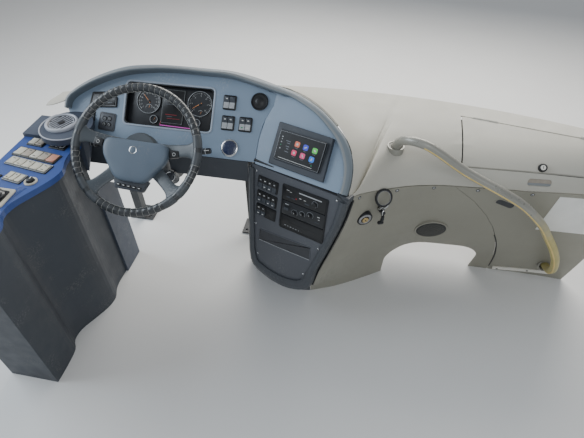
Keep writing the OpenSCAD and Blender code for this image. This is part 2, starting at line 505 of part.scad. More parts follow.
// Posts under the top shell: x and the shell's row above
posts = [[-700, 10], [-150, 24], [300, top_n - 13], [760, top_n - 4]];
module frame() color([0.16, 0.17, 0.18]) {
  box(legs[0] - 60, legs[3] + 40, beam_y, beam_y + tube, beam_z, beam_z + tube);
  for (x = legs) {
    box(x - tube / 2, x + tube / 2, beam_y, beam_y + tube, 7, beam_z + 1);
    difference() {
      box(x - 60, x + 60, beam_y, beam_y + 100, 0, 8);
      for (i = [-40, 40]) for (j = [20, 80]) translate([x + i, beam_y + j, -1]) cylinder(h = 10, r = 6.5);
    }
  }
  for (q = posts) difference() {
    box(q[0] - 14, q[0] + 14, beam_y + 2, beam_y + 30, beam_z + tube - 1, 880);
    above_top(q[1] - 4, q[1] + 4);
  }
  difference() {
    strut(300, 100, beam_z + 4);
    skin(shift(rows(knee_g, 9, 19), [0, wall + 0.4, 0]), shift(rows(knee_g, 9, 19), [0, -200, 0]));
  }
  difference() {
    strut(860, 100, beam_z + 4);
    skin(shift(rows(side_g, 4, 12), [0, wall + 0.4, 0]), shift(rows(side_g, 4, 12), [0, -200, 0]));
  }
  for (x = [-960, -470]) strut(x, fascia_y + wall + 0.3, 580);
  strut(-1050, 146.3, 565);
  strut(-226, 52.6, 562);
  difference() {
    translate([-722, 225, 470]) rotate([36, 0, 0]) cube([30, 172, 30]);
    at(whl, whl_az, whl_el) translate([0, 0, -520]) cylinder(h = 400, r = 35);
    box(-800, -600, beam_y + 1, 500, 400, 700);
  }
}

// Steering column under the wheel; the shaft turns in a bush at each end
shaft_r = 12;
bush_r = shaft_r + 0.3;
module column() color([0.1, 0.1, 0.11]) at(whl, whl_az, whl_el) difference() {
  union() {
    translate([0, 0, -430]) cylinder(h = 350, r = 26);
    translate([0, 0, -420]) cylinder(h = 90, r = 34.7);
  }
  translate([0, 0, -431]) cylinder(h = 360, r = bush_r);
  translate([0, 0, -410]) cylinder(h = 308, r = 19);
}
// The stub below the shoulder takes the lower joint's yoke
stub_l = 40;
module steer_shaft() color([0.45, 0.46, 0.47]) at(whl, whl_az, whl_el) translate([0, 0, -490]) {
  cylinder(h = stub_l + 1, r = shaft_r - 2);
  translate([0, 0, stub_l]) cylinder(h = 427.7 - stub_l, r = shaft_r);
}
// Shroud, with the lock's barrel on a boss at its lower right
lock_at = [56, -58];
module shroud() color([0.14, 0.14, 0.15]) at(whl, whl_az, whl_el) difference() {
  union() {
    translate([0, -4, -250]) rbox(98, 90, 178, 18);
    translate([lock_at[0], lock_at[1], -244]) cylinder(h = 50, r = 22);
    translate([lock_at[0] - 30, lock_at[1] + 14, -236]) rotate([0, 0, -40]) cube([34, 24, 30]);
  }
  translate([0, 0, -251]) cylinder(h = 192, r = 26.3);
  translate([lock_at[0], lock_at[1], -197]) cylinder(h = 10, r = 15);
}
module stalks() color([0.08, 0.08, 0.09]) at(whl, whl_az, whl_el) for (s = [-1, 1]) {
  translate([s * 50.3, 8, -100]) rotate([0, s * 90, s * 8]) cylinder(h = 139, r = 7);
  translate([s * 187.5, 27.4, -100]) rotate([0, s * 90, s * 8]) cylinder(h = 45, r = 11);
}

// Steering wheel: rim, dished spokes on a hub, and the pad over them
wheel_in = wheel_d / 2 - rim_t;
spoke_at = [3, 168, 225, 317, 90];
pad_pts = [[-112, 38], [112, 24], [114, -34], [42, -116], [-62, -106], [-118, -16]];
// Button bar under the pad, and the keys beside it: place and turn
chin_pts = [[-84, -84], [-78, -102], [-64, -133], [34, -143], [58, -106], [80, -76]];
wheel_keys = [[134, -6, 3], [-139, 20, -12]];
module wheel_rim() color([0.06, 0.06, 0.07]) at(whl, whl_az, whl_el)
  rotate_extrude($fn = 96) translate([(wheel_d - rim_t) / 2, 0]) circle(rim_t / 2, $fn = 24);
module wheel_hub() color([0.09, 0.09, 0.1]) at(whl, whl_az, whl_el) {
  intersection() {
    for (a = [for (i = [0:spokes - 1]) spoke_at[i]]) rotate([0, 0, a]) intersection() {
      translate([0, 0, -40]) linear_extrude(60) polygon([[58, -26], [100, -24], [230, -17], [230, 17], [100, 24],
        [58, 26]]);
      translate([0, 40, 0]) rotate([90, 0, 0]) linear_extrude(80) polygon([[50, -29], [104, -29],
        [wheel_in, -7], [230, -7], [230, 6], [wheel_in - 12, 6], [128, -16], [50, -16]]);
    }
    translate([0, 0, -60]) cylinder(h = 90, r = wheel_in - 0.3, $fn = 96);
  }
  translate([0, 0, -62]) linear_extrude(45) polygon([for (i = [0:29]) 66 * [cos(i * 12 + 6), sin(i * 12 + 6)]]);
  translate([0, 0, -30]) linear_extrude(12) polygon(chin_pts);
  for (q = wheel_keys) translate([q[0], q[1], -17]) rotate([0, 0, q[2]]) rbox(30, 26, 12, 5);
}
module hub_pad() color([0.12, 0.12, 0.13]) at(whl, whl_az, whl_el) {
  translate([0, 0, -15.7]) linear_extrude(21) polygon(soft(pad_pts, 26, 5));
  translate([0, 0, 5]) linear_extrude(7) polygon(soft([for (q = pad_pts) q * 0.84 - [0, 4]], 18, 5));
}

module place() translate([x_off, y_off, 0]) children();
place() frame();
place() column();
place() shroud();
place() stalks();
place() cowl();
place() lid();
place() lid_lock();
place() hood();
place() driver_panel();
place() cluster();
place() dials();
place() rockers();
place() keypad();
place() driver_fascia();
place() pod_rim();
place() pod_upper();
place() pod_lower();
place() radio();
place() pod_switches();
place() din_stack();
place() badge_plate();
place() pod_plinth();
place() knee_panel();
place() side_panel();
place() kick_strip();
place() knee_vent();
place() ring_holder();
place() rail();
place() rail_feet();
place() console_body();
place() console_top();
place() console_switches();
place() console_lever();
place() console_grille();
place() corner_pod();
place() air_nozzle();
place() heater();
place() wheel_rim();
place() wheel_hub();
place() hub_pad();
place() steer_shaft();
place() plug();
place() round_badge();
place() pod_cheek();
place() console_frames();
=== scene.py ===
from math import atan2, copysign, cos, degrees, exp, hypot, pi, radians, sin, sqrt

import bmesh
import bpy
from mathutils import Matrix, Vector
from mathutils.bvhtree import BVHTree


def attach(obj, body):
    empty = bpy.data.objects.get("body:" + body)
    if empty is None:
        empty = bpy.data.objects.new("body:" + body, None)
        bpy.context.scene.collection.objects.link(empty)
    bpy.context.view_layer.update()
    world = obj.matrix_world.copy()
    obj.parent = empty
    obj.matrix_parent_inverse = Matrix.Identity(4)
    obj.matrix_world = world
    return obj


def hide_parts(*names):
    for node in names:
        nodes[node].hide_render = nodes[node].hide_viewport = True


scene = bpy.context.scene
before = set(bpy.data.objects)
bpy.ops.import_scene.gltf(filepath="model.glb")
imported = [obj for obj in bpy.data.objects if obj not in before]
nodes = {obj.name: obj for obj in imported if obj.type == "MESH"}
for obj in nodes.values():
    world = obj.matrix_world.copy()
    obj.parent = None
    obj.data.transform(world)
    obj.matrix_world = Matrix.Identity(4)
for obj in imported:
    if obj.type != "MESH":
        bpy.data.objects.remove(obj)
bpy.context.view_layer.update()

# Places. Lengths are in the source's millimetres until a place turns them into metres.
MM = 0.001
X_OFF = 60  # the source's x = 0 in the frame
UNIT = Matrix.Scale(MM, 4)
METRES = Matrix.Identity(4)  # for shapes that are in metres already


def plane(p, az, el):
    """Matrix from (across, up, out) in millimetres on a tilted panel to metres."""
    a, e = radians(az), radians(el)
    u = (cos(a), sin(a), 0)
    v = (-sin(a) * sin(e), cos(a) * sin(e), cos(e))
    n = (sin(a) * cos(e), -cos(a) * cos(e), sin(e))
    m = Matrix((u, v, n)).transposed().to_4x4()
    m.translation = (p[0] + X_OFF, p[1], p[2])
    return UNIT @ m


DRV = plane((-650, 200, 790), 0, 42)  # driver's panel
UP = plane((-140, 90, 745), -23, 42)  # upper part of the pod
LOW = plane((-138, 20, 675), -21.5, 12)  # lower part of the pod
WHL = plane((-691, -22, 756), 3.7, 47.5)  # steering wheel
BUS = plane((0, 0, 0), 0, 90)  # the source's own axes


def move(x, y, z=0.0, turn=0.0, tilt=0.0):
    return (Matrix.Translation((x, y, z)) @ Matrix.Rotation(radians(turn), 4, "Z")
            @ Matrix.Rotation(radians(tilt), 4, "X"))


def mix(a, b, t):
    return tuple(p + (q - p) * t for p, q in zip(a, b))


# Finishes
WEAR_SCALE, SCRATCH_SCALE = 11, 170
BUMP_DEPTH = 0.0004


def finish(name, colour, rough, tone=0.1, patch=5, grain=900, bump=0.12, metal=0, wear=None, coat=0, emit=0):
    """A finish with cloudy tone, a fine grain and, where wear is a colour, sparse rubbed marks."""
    m = bpy.data.materials.new(name)
    m.use_nodes = True
    nt = m.node_tree
    link, node = nt.links.new, nt.nodes.new
    bsdf = nt.nodes["Principled BSDF"].inputs
    coords = node("ShaderNodeTexCoord")

    def noise(scale, detail):
        n = node("ShaderNodeTexNoise")
        n.inputs["Scale"].default_value = scale
        n.inputs["Detail"].default_value = detail
        link(coords.outputs["Object"], n.inputs["Vector"])
        return n.outputs["Fac"]

    def span(source, a, b, low, high):
        n = node("ShaderNodeMapRange")
        for i, x in enumerate((a, b, low, high)):
            n.inputs[i + 1].default_value = x
        link(source, n.inputs[0])
        return n.outputs[0]

    def blend(fac, a, b):
        n = node("ShaderNodeMix")
        n.data_type = "RGBA"
        link(fac, n.inputs["Factor"])
        for socket, value in (("A", a), ("B", b)):
            s = [i for i in n.inputs if i.name == socket and i.type == "RGBA"][0]
            if isinstance(value, tuple):
                s.default_value = (*value, 1)
            else:
                link(value, s)
        return [o for o in n.outputs if o.type == "RGBA"][0]

    cloud = noise(patch, 2)
    base = blend(span(cloud, 0.25, 0.75, 0, 1), tuple(c * (1 - tone) for c in colour),
                 tuple(min(1, c * (1 + tone)) for c in colour))
    if wear:
        rub = node("ShaderNodeMath")
        rub.operation = "MULTIPLY"
        link(span(noise(WEAR_SCALE, 2), 0.54, 0.66, 0, 0.55), rub.inputs[0])
        link(span(noise(SCRATCH_SCALE, 5), 0.52, 0.62, 0, 1), rub.inputs[1])
        base = blend(rub.outputs[0], base, wear)
    link(base, bsdf["Base Color"])
    smooth, matt = max(0.03, rough - 0.07), min(1, rough + 0.07)
    link(span(noise(patch * 4, 3), 0.3, 0.7, smooth, matt), bsdf["Roughness"])
    bumps = node("ShaderNodeBump")
    bumps.inputs["Strength"].default_value = bump
    bumps.inputs["Distance"].default_value = BUMP_DEPTH
    link(noise(grain, 2), bumps.inputs["Height"])
    link(bumps.outputs["Normal"], bsdf["Normal"])
    bsdf["Metallic"].default_value = metal
    bsdf["Coat Weight"].default_value = coat
    if emit:
        link(base, bsdf["Emission Color"])
        bsdf["Emission Strength"].default_value = emit
    return m


# After the name: colour, roughness, tone, size of the clouds, fineness of the grain
RAIL_GREY, GRIP_YELLOW, BLENDS = (0.315, 0.31, 0.275), (0.5, 0.43, 0.17), 5
ICON_COLOURS = [(0.62, 0.16, 0.1), (0.06, 0.08, 0.55), (0.1, 0.5, 0.1), (0.62, 0.06, 0.14), (0.6, 0.08, 0.2),
                (0.04, 0.2, 0.7)]
# Blue-grey shell: its own colour, made bluer as a painted sky reflection
SHELL_SKY_TINT = finish("shell_grey", (0.225, 0.3, 0.395), 0.42, 0.05, grain=700, wear=(0.33, 0.38, 0.44))
COWL = finish("cowl_light", (0.51, 0.495, 0.435), 0.5, 0.05, 3, 650, bump=0.2)
WARM = finish("panel_warm", (0.3, 0.29, 0.24), 0.46, 0.06, 4, 700, bump=0.2)
DARK = finish("dark_trim", (0.043, 0.051, 0.064), 0.5, 0.08, grain=800, wear=(0.12, 0.125, 0.13))
PLATE = finish("plate_grey", (0.08, 0.087, 0.102), 0.45, 0.07, wear=(0.13, 0.14, 0.15))
HOOD = finish("hood_grey", (0.165, 0.198, 0.226), 0.48, 0.07, grain=700)
# Light grey: on the hood's crest it is a painted highlight; it is also the edge of the cluster's screen and
# of the cowl's grip
LIP_AND_HIGHLIGHT = finish("hood_lip_highlight", (0.225, 0.24, 0.246), 0.42, grain=700)
BLACK = finish("black_plastic", (0.01, 0.011, 0.013), 0.38, 0.25, grain=1100, wear=(0.05, 0.05, 0.055))
NAVY = finish("navy", (0.032, 0.072, 0.25), 0.36, 0.08, grain=700, wear=(0.09, 0.13, 0.3))
CREAM = finish("cream", (0.52, 0.5, 0.42), 0.4, 0.12, 30, 1200, wear=(0.66, 0.64, 0.56))
STEEL = finish("steel", (0.045, 0.048, 0.052), 0.5, 0.2, grain=300, bump=0.3, wear=(0.16, 0.15, 0.14))
RAIL = finish("rail_metal", RAIL_GREY, 0.31, 0.06, 8, 500, metal=0.2, bump=0.03, wear=(0.36, 0.355, 0.32))
YELLOW = finish("rail_grip", GRIP_YELLOW, 0.5, 0.14, 20, 600, wear=(0.36, 0.34, 0.26))
RAIL_BLEND = [finish("rail_blend_%d" % i, mix(RAIL_GREY, GRIP_YELLOW, (i + 1) / (BLENDS + 1)),
                     0.34 + 0.03 * i, 0.1, 12, 500, bump=0.05) for i in range(BLENDS)]
ALU = finish("aluminium", (0.86, 0.835, 0.76), 0.4, grain=500, bump=0.2)
CHROME = finish("chrome", (0.72, 0.73, 0.74), 0.14, 0.06, grain=400, metal=1, bump=0.04)
SHAFT = finish("shaft", (0.36, 0.36, 0.37), 0.3, 0.15, grain=500, metal=1)
LEATHER = finish("leather", (0.034, 0.038, 0.042), 0.34, 0.3, 40, 420, coat=0.45, bump=0.5,
                 wear=(0.075, 0.075, 0.08))
THREAD = finish("thread", (0.38, 0.38, 0.36), 0.7, 0.15, 200, 2000, bump=0.4)
HUB = finish("hub_grey", (0.108, 0.145, 0.19), 0.44, 0.14, grain=800, wear=(0.17, 0.18, 0.2))
GRIP = finish("grip_grey", (0.06, 0.068, 0.076), 0.4, 0.14, 20, 600, bump=0.3, wear=(0.13, 0.14, 0.15))
SPOKE = finish("spoke_grey", (0.072, 0.086, 0.098), 0.36, 0.16, wear=(0.2, 0.2, 0.21))
GLASS = finish("glossy", (0.006, 0.007, 0.009), 0.34, 0.3, grain=200, bump=0.01, coat=0.15)
WHITE = finish("mark_white", (0.62, 0.63, 0.62), 0.5, 0.08, 90, 1500)
SIGN = finish("sign_white", (0.86, 0.86, 0.83), 0.45, 0.06, 12)
RED = finish("mark_red", (0.42, 0.02, 0.03), 0.4, 0.12, 60)
GLOW = finish("glow_magenta", (0.62, 0.1, 0.5), 0.4, 0.1, 60, emit=0.6)
ICONS = [finish("icon_%d" % i, c, 0.3, 0.1, 120, emit=0.35) for i, c in enumerate(ICON_COLOURS)]
GREEN = finish("mark_green", (0.03, 0.28, 0.13), 0.4, 0.1, 90)
DIAL = finish("dial_face", (0.013, 0.015, 0.019), 0.42, 0.2, 20, bump=0.03, coat=0.1)
DIAL_INK = finish("dial_ink", (0.2, 0.22, 0.26), 0.4, 0.1, 90)
AMBER = finish("needle", (0.72, 0.3, 0.12), 0.4, 0.08, 90, emit=0.15)
PALE = finish("pale_key", (0.42, 0.44, 0.46), 0.34, 0.12, 50)
PALE_EDGE = finish("pale_edge", (0.3, 0.32, 0.35), 0.34, 0.12, 50)
PALE_RING = finish("pale_ring", (0.4, 0.42, 0.47), 0.4, 0.1, 20)
# A lighter copy of the shell's grey: a painted highlight on the bead round the cluster
SHELL_HIGHLIGHT = finish("shell_edge_highlight", (0.36, 0.42, 0.5), 0.34, 0.08, 12)
RIM = finish("rim_dark", (0.055, 0.062, 0.072), 0.44, 0.1, 9, 700, wear=(0.12, 0.13, 0.14))
CORNER = finish("corner_grey", (0.058, 0.071, 0.1), 0.46, 0.08, 8, 700, wear=(0.12, 0.14, 0.18))
VANE = finish("vane_black", (0.01, 0.01, 0.012), 0.7, 0.2, 30)
BADGE = finish("badge_blank", (0.02, 0.03, 0.075), 0.26, 0.1, 30, coat=0.5)
# Dark grey that paints the shade inside recesses and under the lid's edges
RECESS_SHADE = finish("recess_painted_shade", (0.04, 0.043, 0.05), 0.42, 0.16, 30, 700)
MESH_GREY = finish("mesh_grey", (0.105, 0.105, 0.092), 0.5, 0.1, 20)
BRASS = finish("brass", (0.62, 0.46, 0.22), 0.28, 0.12, 60, metal=0.9)
STRIP = finish("rail_strip", (0.74, 0.56, 0.2), 0.4, 0.12, 20, wear=(0.4, 0.36, 0.26))
SALMON = finish("key_salmon", (0.5, 0.24, 0.17), 0.4, 0.12, 60)
TAUPE = finish("key_taupe", (0.34, 0.3, 0.25), 0.42, 0.12, 60)


# Shapes: each is a list of points and a list of faces
def catmull(points, k):
    """The points with k - 1 more on a smooth curve between each pair."""
    p = [Vector(q) for q in points]
    out = []
    for i in range(len(p) - 1):
        a, b, c, d = p[max(0, i - 1)], p[i], p[i + 1], p[min(len(p) - 1, i + 2)]
        for j in range(k):
            t = j / k
            out.append(0.5 * (2 * b + (c - a) * t + (2 * a - 5 * b + 4 * c - d) * t * t
                              + (-a + 3 * b - 3 * c + d) * t ** 3))
    return out + [p[-1]]


def soft(points, r, k=5):
    """A closed outline with its corners rounded off over a length r."""
    out = []
    n = len(points)
    for i in range(n):
        a, b, c = (Vector(points[j % n]) for j in (i - 1, i, i + 1))
        s, e = b + (a - b).normalized() * r, b + (c - b).normalized() * r
        for j in range(k + 1):
            t = j / k
            out.append((1 - t) ** 2 * s + 2 * t * (1 - t) * b + t * t * e)
    return out


def rect(w, h, r=2.0, k=4):
    return soft([(-w / 2, -h / 2), (w / 2, -h / 2), (w / 2, h / 2), (-w / 2, h / 2)], r, k)


def circle(n):
    return [(cos(2 * pi * i / n), sin(2 * pi * i / n)) for i in range(n)]


def disc(r, n):
    return [Vector((r * x, r * y)) for x, y in circle(n)]


def inset(outline, d):
    """A closed outline, anticlockwise, moved in by d."""
    n = len(outline)
    out = []
    for i in range(n):
        a, b, c = outline[i - 1], outline[i], outline[(i + 1) % n]
        e, f = (b - a).normalized(), (c - b).normalized()
        p, q = Vector((-e.y, e.x)), Vector((-f.y, f.x))
        out.append(b + (p + q) / max(0.4, 1 + p.dot(q)) * d)
    return out


def rings(loops, caps=True):
    """A skin through closed loops with the same number of points, with or without end faces."""
    n = len(loops[0])
    faces = [[i * n + j, i * n + (j + 1) % n, (i + 1) * n + (j + 1) % n, (i + 1) * n + j]
             for i in range(len(loops) - 1) for j in range(n)]
    if caps:
        faces += [list(range(n))[::-1], [(len(loops) - 1) * n + j for j in range(n)]]
    return [Vector(p) for loop in loops for p in loop], faces


def slab(outline, steps):
    """An outline raised in steps of (inset, height)."""
    return rings([[(p.x, p.y, h) for p in inset(outline, d)] for d, h in steps])


def bead(outline, steps):
    """A raised edge round an outline: steps of (inset, height) without end faces."""
    return rings([[(p.x, p.y, h) for p in inset(outline, d)] for d, h in steps], False)


def block(outline, low, high, edge):
    """A plate or key with a rounded upper edge."""
    return slab(outline, [(0, low), (0, high - edge), (0.3 * edge, high - 0.3 * edge), (edge, high)])


def lathe(profile, n):
    """A turned shape: steps of (radius, height)."""
    return rings([[(r * x, r * y, h) for x, y in circle(n)] for r, h in profile])


def tube(path, radius, n):
    """A round tube along points; radius is a number or one number a point."""
    path = [Vector(p) for p in path]
    side = None
    loops = []
    for i, p in enumerate(path):
        d = (path[min(i + 1, len(path) - 1)] - path[max(i - 1, 0)]).normalized()
        side = d.orthogonal() if side is None else side - d * side.dot(d)
        side.normalize()
        up = d.cross(side)
        r = radius if isinstance(radius, (int, float)) else radius[i]
        loops.append([p + r * (x * side + y * up) for x, y in circle(n)])
    return rings(loops)


def hoop(r, thick, a, m):
    """The section of a torus round the out axis, at the angle a."""
    return [((r + thick * x) * cos(a), (r + thick * x) * sin(a), thick * y) for x, y in circle(m)]


def ring(r, thick, n, m, turn=1.0):
    """A torus round the out axis, over a share of a turn."""
    return rings([hoop(r, thick, 2 * pi * i / n * turn, m) for i in range(n + 1)], False)


def new_object(name, data):
    obj = bpy.data.objects.new(name, data)
    scene.collection.objects.link(obj)
    return obj


class Piece:
    """Gathers shapes, each with a finish, and makes one object of them."""

    def __init__(self, name):
        self.name, self.verts, self.faces, self.index, self.mats = name, [], [], [], []

    def add(self, shape, at, mat):
        if mat not in self.mats:
            self.mats.append(mat)
        base = len(self.verts)
        self.verts += [at @ v for v in shape[0]]
        self.faces += [[base + i for i in f] for f in shape[1]]
        self.index += [self.mats.index(mat)] * len(shape[1])

    def turn(self, at, mat, n, *profile):
        self.add(lathe(profile, n), at, mat)

    def key(self, at, mat, size, rise):
        """A block on a rounded rectangle: size goes to rect, rise is low, high and edge."""
        self.add(block(rect(*size), *rise), at, mat)

    def mark(self, at, mat, w, h, low, high, r=0.2, k=1):
        """A flat bar or mark with square edges."""
        self.add(slab(rect(w, h, r, k), [(0, low), (0, high)]), at, mat)

    def plate(self, at, mat, size, *steps):
        self.add(slab(rect(*size), steps), at, mat)

    def edge(self, at, mat, size, *steps):
        self.add(bead(rect(*size), steps), at, mat)

    def wire(self, at, mat, points, k, r, n):
        self.add(tube(catmull(points, k), r, n), at, mat)

    def screw(self, at, r, h, head=None):
        """A cross-head screw: dished head with two slots."""
        self.add(lathe([(r, 0), (r, 0.35 * h), (0.8 * r, 0.8 * h), (0.4 * r, h)], 20), at, head or CHROME)
        for w, v in ((1.1 * r, 0.26 * r), (0.26 * r, 1.1 * r)):
            self.mark(at, BLACK, w, v, 0.9 * h, h + 0.12, 0.1)

    def make(self, slot, *stands_for, body="dashboard", sharp=36):
        mesh = bpy.data.meshes.new(self.name)
        mesh.from_pydata([tuple(v) for v in self.verts], [], self.faces)
        for m in self.mats:
            mesh.materials.append(m)
        mesh.polygons.foreach_set("material_index", self.index)
        bm = bmesh.new()
        bm.from_mesh(mesh)
        bmesh.ops.recalc_face_normals(bm, faces=bm.faces)
        bm.to_mesh(mesh)
        bm.free()
        mesh.shade_smooth()
        mesh.set_sharp_from_angle(angle=radians(sharp))
        obj = new_object(self.name, mesh)
        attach(obj, body)
        if stands_for:
            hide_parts(*stands_for)


# CAD nodes that keep their shape, and the looks of the others wherever they show
# The shell finish on the driver's panel and upper pod carries a painted sky reflection in its blue
NODE_FINISH = [
    (STEEL, "frame column"), (COWL, "cowl lid"), (HOOD, "hood"), (SHELL_SKY_TINT, "driver_panel pod_upper"),
    (BLACK, "stalks lid_lock cluster rockers keypad radio pod_switches din_stack knee_vent console_lever "
            "console_grille air_nozzle plug console_frames"),
    (DARK, "shroud driver_fascia badge_plate pod_plinth console_body heater pod_cheek"), (RIM, "pod_rim"),
    (CHROME, "dials ring_holder round_badge"), (PLATE, "pod_lower"), (WARM, "knee_panel side_panel"),
    (ALU, "kick_strip"), (RAIL, "rail rail_feet"), (NAVY, "console_top"), (CREAM, "console_switches"),
    (CORNER, "corner_pod"), (LEATHER, "wheel_rim"), (SPOKE, "wheel_hub"), (HUB, "hub_pad"),
    (SHAFT, "steer_shaft")]
for mat, names in NODE_FINISH:
    for name in names.split():
        data = nodes[name].data
        data.materials.clear()
        data.materials.append(mat)


# Steering wheel
RIM_R, RIM_T = 215.0, 15.0  # radii of the rim's centre line and of its section
SPOKE_AT = [3, 168, 225, 317]
NO_SEAM = 13  # degrees on each side of a spoke
PAD = [(-112, 38), (-118, -16), (-62, -106), (42, -116), (114, -34), (112, 24)]
SEAMS, STEPS = 66, 6  # seams of the cover, and its sections from seam to seam


def near_spoke(a):
    return min(abs((a - s + 180) % 360 - 180) for s in SPOKE_AT) < NO_SEAM


def on_rim(a, b, lift):
    """A point a degrees round the rim and b degrees round its section, lifted off it."""
    r = RIM_T + lift
    d = RIM_R + r * cos(radians(b))
    return (d * cos(radians(a)), d * sin(radians(a)), r * sin(radians(b)))


def make_wheel():
    p = Piece("wheel_cover")
    pitch = 360 / SEAMS
    loops = []
    for i in range(SEAMS * STEPS + 1):
        a = pitch * i / STEPS
        off = min(i % STEPS, STEPS - i % STEPS)
        dip = 0 if near_spoke(a) else exp(-(off / 1.1) ** 2)
        loops.append(hoop(RIM_R, RIM_T - dip - 0.2, radians(a), 20))
    p.add(rings(loops, False), WHL, LEATHER)
    for k in range(SEAMS):
        a = k * pitch
        if near_spoke(a):
            continue
        seam = [on_rim(a + 0.25 * sin(radians(b)), b, -0.45) for b in range(0, 200, 14)]
        p.add(tube(seam, 0.55, 5), WHL, THREAD)
        if not near_spoke(a + pitch):
            stitch = [on_rim(a + pitch * t / 4, 196 - 8.5 * t, 0.5 * sin(pi * t / 4) - 0.1)
                      for t in range(5)]
            p.add(tube(stitch, 0.7, 5), WHL, THREAD)
    p.make("leather", "wheel_rim", body="wheel", sharp=50)

    p = Piece("wheel_spokes")
    # Distance from the centre, width, height and thickness
    sections = [(56, 56, -22, 13), (92, 50, -22, 13), (128, 44, -17, 12), (160, 42, -9, 12),
                (182, 46, -4, 13), (196, 60, -1.5, 15), (205, 84, -0.5, 19), (211, 104, 0, 22)]
    for spoke in SPOKE_AT:
        at = WHL @ move(0, 0, 0, spoke)
        loops = []
        for r, w, z, t in catmull(sections, 3):
            bow = 0.4 * RIM_R if r > 190 else 0
            loops.append([(r - bow * (1 - sqrt(1 - (w / 2 * x / RIM_R) ** 2)),
                           w / 2 * copysign(abs(x) ** 0.7, x),
                           z + t / 2 * copysign(abs(y) ** 0.8, y)) for x, y in circle(24)])
        p.add(rings(loops), at, SPOKE)
        thick = RIM_T + 1
        for side in (-1, 1):
            loops = [[(RIM_R + thick * x, side * 8, thick * y) for x, y in circle(20)]]
            for i in range(10):
                t = i / 9
                loops.append(hoop(RIM_R, thick - 1.1 * t ** 2, radians(side * (5 + 8.5 * t)), 20))
            p.add(rings(loops), at, GRIP)
    p.turn(WHL, SPOKE, 48, (40, -61.8), (60, -61.8), (66, -56), (66, -30), (60, -17.5), (30, -17))
    chin = soft([(-72, -96), (-64, -133), (34, -143), (54, -104)], 7)
    p.add(block(chin, -30, -7, 3), WHL, DARK)
    for i in range(5):
        x = -50 + i * 18.5
        at = WHL @ move(x, -126 - (x + 13) * 0.14, 0, -8)
        p.key(at, BLACK, (15, 10), (-7.2, -4.2, 1))
        p.key(at, WHITE, (7, 2.6, 0.6, 2), (-4.4, -3.9, 0.2))
    for x, y, turn in ((133, -6, 3), (-138, 20, -12)):
        at = WHL @ move(x, y, 0, turn)
        p.add(block(soft([(-16, -14), (16, -10), (16, 12), (-16, 15)], 4), -18, -4, 2), at, BLACK)
        p.add(ring(5.2, 0.8, 24, 6), at @ move(0, 0, -3.4), WHITE)
    p.make("dark_trim", "wheel_hub", body="wheel", sharp=40)

    p = Piece("wheel_pad")
    outline = soft(PAD, 24, 7)
    # Share of the outline's size, and height
    crown = [(1, -15.5), (1.003, -8), (1, -1), (0.985, 4), (0.955, 7.6), (0.9, 9.6), (0.8, 10.8),
             (0.6, 11.6), (0.3, 12)]
    p.add(rings([[(q.x * k, (q.y + 30) * k - 30, h) for q in outline] for k, h in crown]), WHL, HUB)
    at = WHL @ move(-4, -4)
    p.turn(at, CHROME, 40, (13.5, 10.5), (13.5, 12.2), (12.2, 12.6), (11.6, 12.1), (4, 12))
    p.turn(at @ move(0, 0, 0.05), HUB, 40, (11.6, 11.6), (10.5, 12.3), (3, 12.6))
    p.make("dark_trim", "hub_pad", body="wheel", sharp=50)


# Fittings
CONSOLE_TOP, CORNER_TOP = 722, 757
EAR = -1000, 68, 93, 95  # centre and half axes of the corner's oval ear
EAR_SOLID = -1032, 70, 96  # centre and radius of the round ear of its solid
EAR_BASE, EAR_REACH = 733.9, 97.5  # the skin above this height and within this radius is moved
RAIL_PATH = [(180, 212, 706), (186, 190, 756), (214, 152, 792), (260, 128, 800), (310, 121, 780),
             (413, 110, 722), (553, 94, 662), (625, 100, 618), (685, 120, 560), (742, 140, 496),
             (790, 162, 425), (840, 182, 350), (880, 200, 275), (905, 220, 200), (914, 256, 150),
             (917, 300, 124), (917, 330, 116)]


def lie(tree, x, z, turn=0.0, reach=0.0, face=0.0):
    """Place on a panel seen from behind: the source's x and z, out along the surface's own direction.
    With a reach it stands level on the surface over that radius; face turns it towards the rear."""
    def hit(dx, dz):
        return tree.ray_cast(Vector(((x + dx + X_OFF) * MM, -2, (z + dz) * MM)), Vector((0, 1, 0)))

    p, n, _, _ = hit(0, 0)
    around = [hit(reach * c, reach * s)[0] for c, s in circle(8)] if reach else []
    if around:
        n = (around[0] - around[4]).cross(around[2] - around[6]).normalized()
    n = n if n.y < 0 else -n
    n = (n + Vector((0, -face, 0))).normalized()
    rise = max([(q - p).dot(n) for q in around] + [0])
    u = Vector((0, 0, 1)).cross(n).normalized()
    m = Matrix((u, n.cross(u), n)).transposed().to_4x4()
    return Matrix.Translation(p + n * rise) @ m @ UNIT @ move(0, 0, 0, turn)


def surface(node):
    mesh = nodes[node].data
    return BVHTree.FromPolygons([v.co for v in mesh.vertices], [list(p.vertices) for p in mesh.polygons])


def bar(half, y, section):
    """A straight bar across, from -half to half, with its section at y."""
    return rings([[(x, y + dy, z) for dy, z in section] for x in (-half, half)])


SEGMENTS = dict(a=(0, 1, 0), b=(0.5, 0.5, 1), c=(0.5, -0.5, 1), d=(0, -1, 0), e=(-0.5, -0.5, 1),
                f=(-0.5, 0.5, 1), g=(0, 0, 0))
DIGITS = {"0": "abcdef", "1": "bc", "2": "abged", "3": "abgcd", "4": "fgbc", "5": "afgcd", "6": "afgedc",
          "8": "abcdefg"}


def number(p, place, text, size, mat):
    for i, char in enumerate(text):
        for s in DIGITS[char]:
            x, y, up = SEGMENTS[s]
            w, h = (0.22, 1) if up else (0.75, 0.22)
            at = place @ move((i - (len(text) - 1) / 2) * 1.6 * size + x * 0.85 * size, y * size)
            p.mark(at, mat, w * size, h * size, -0.3, 0.25, 0.1 * size)


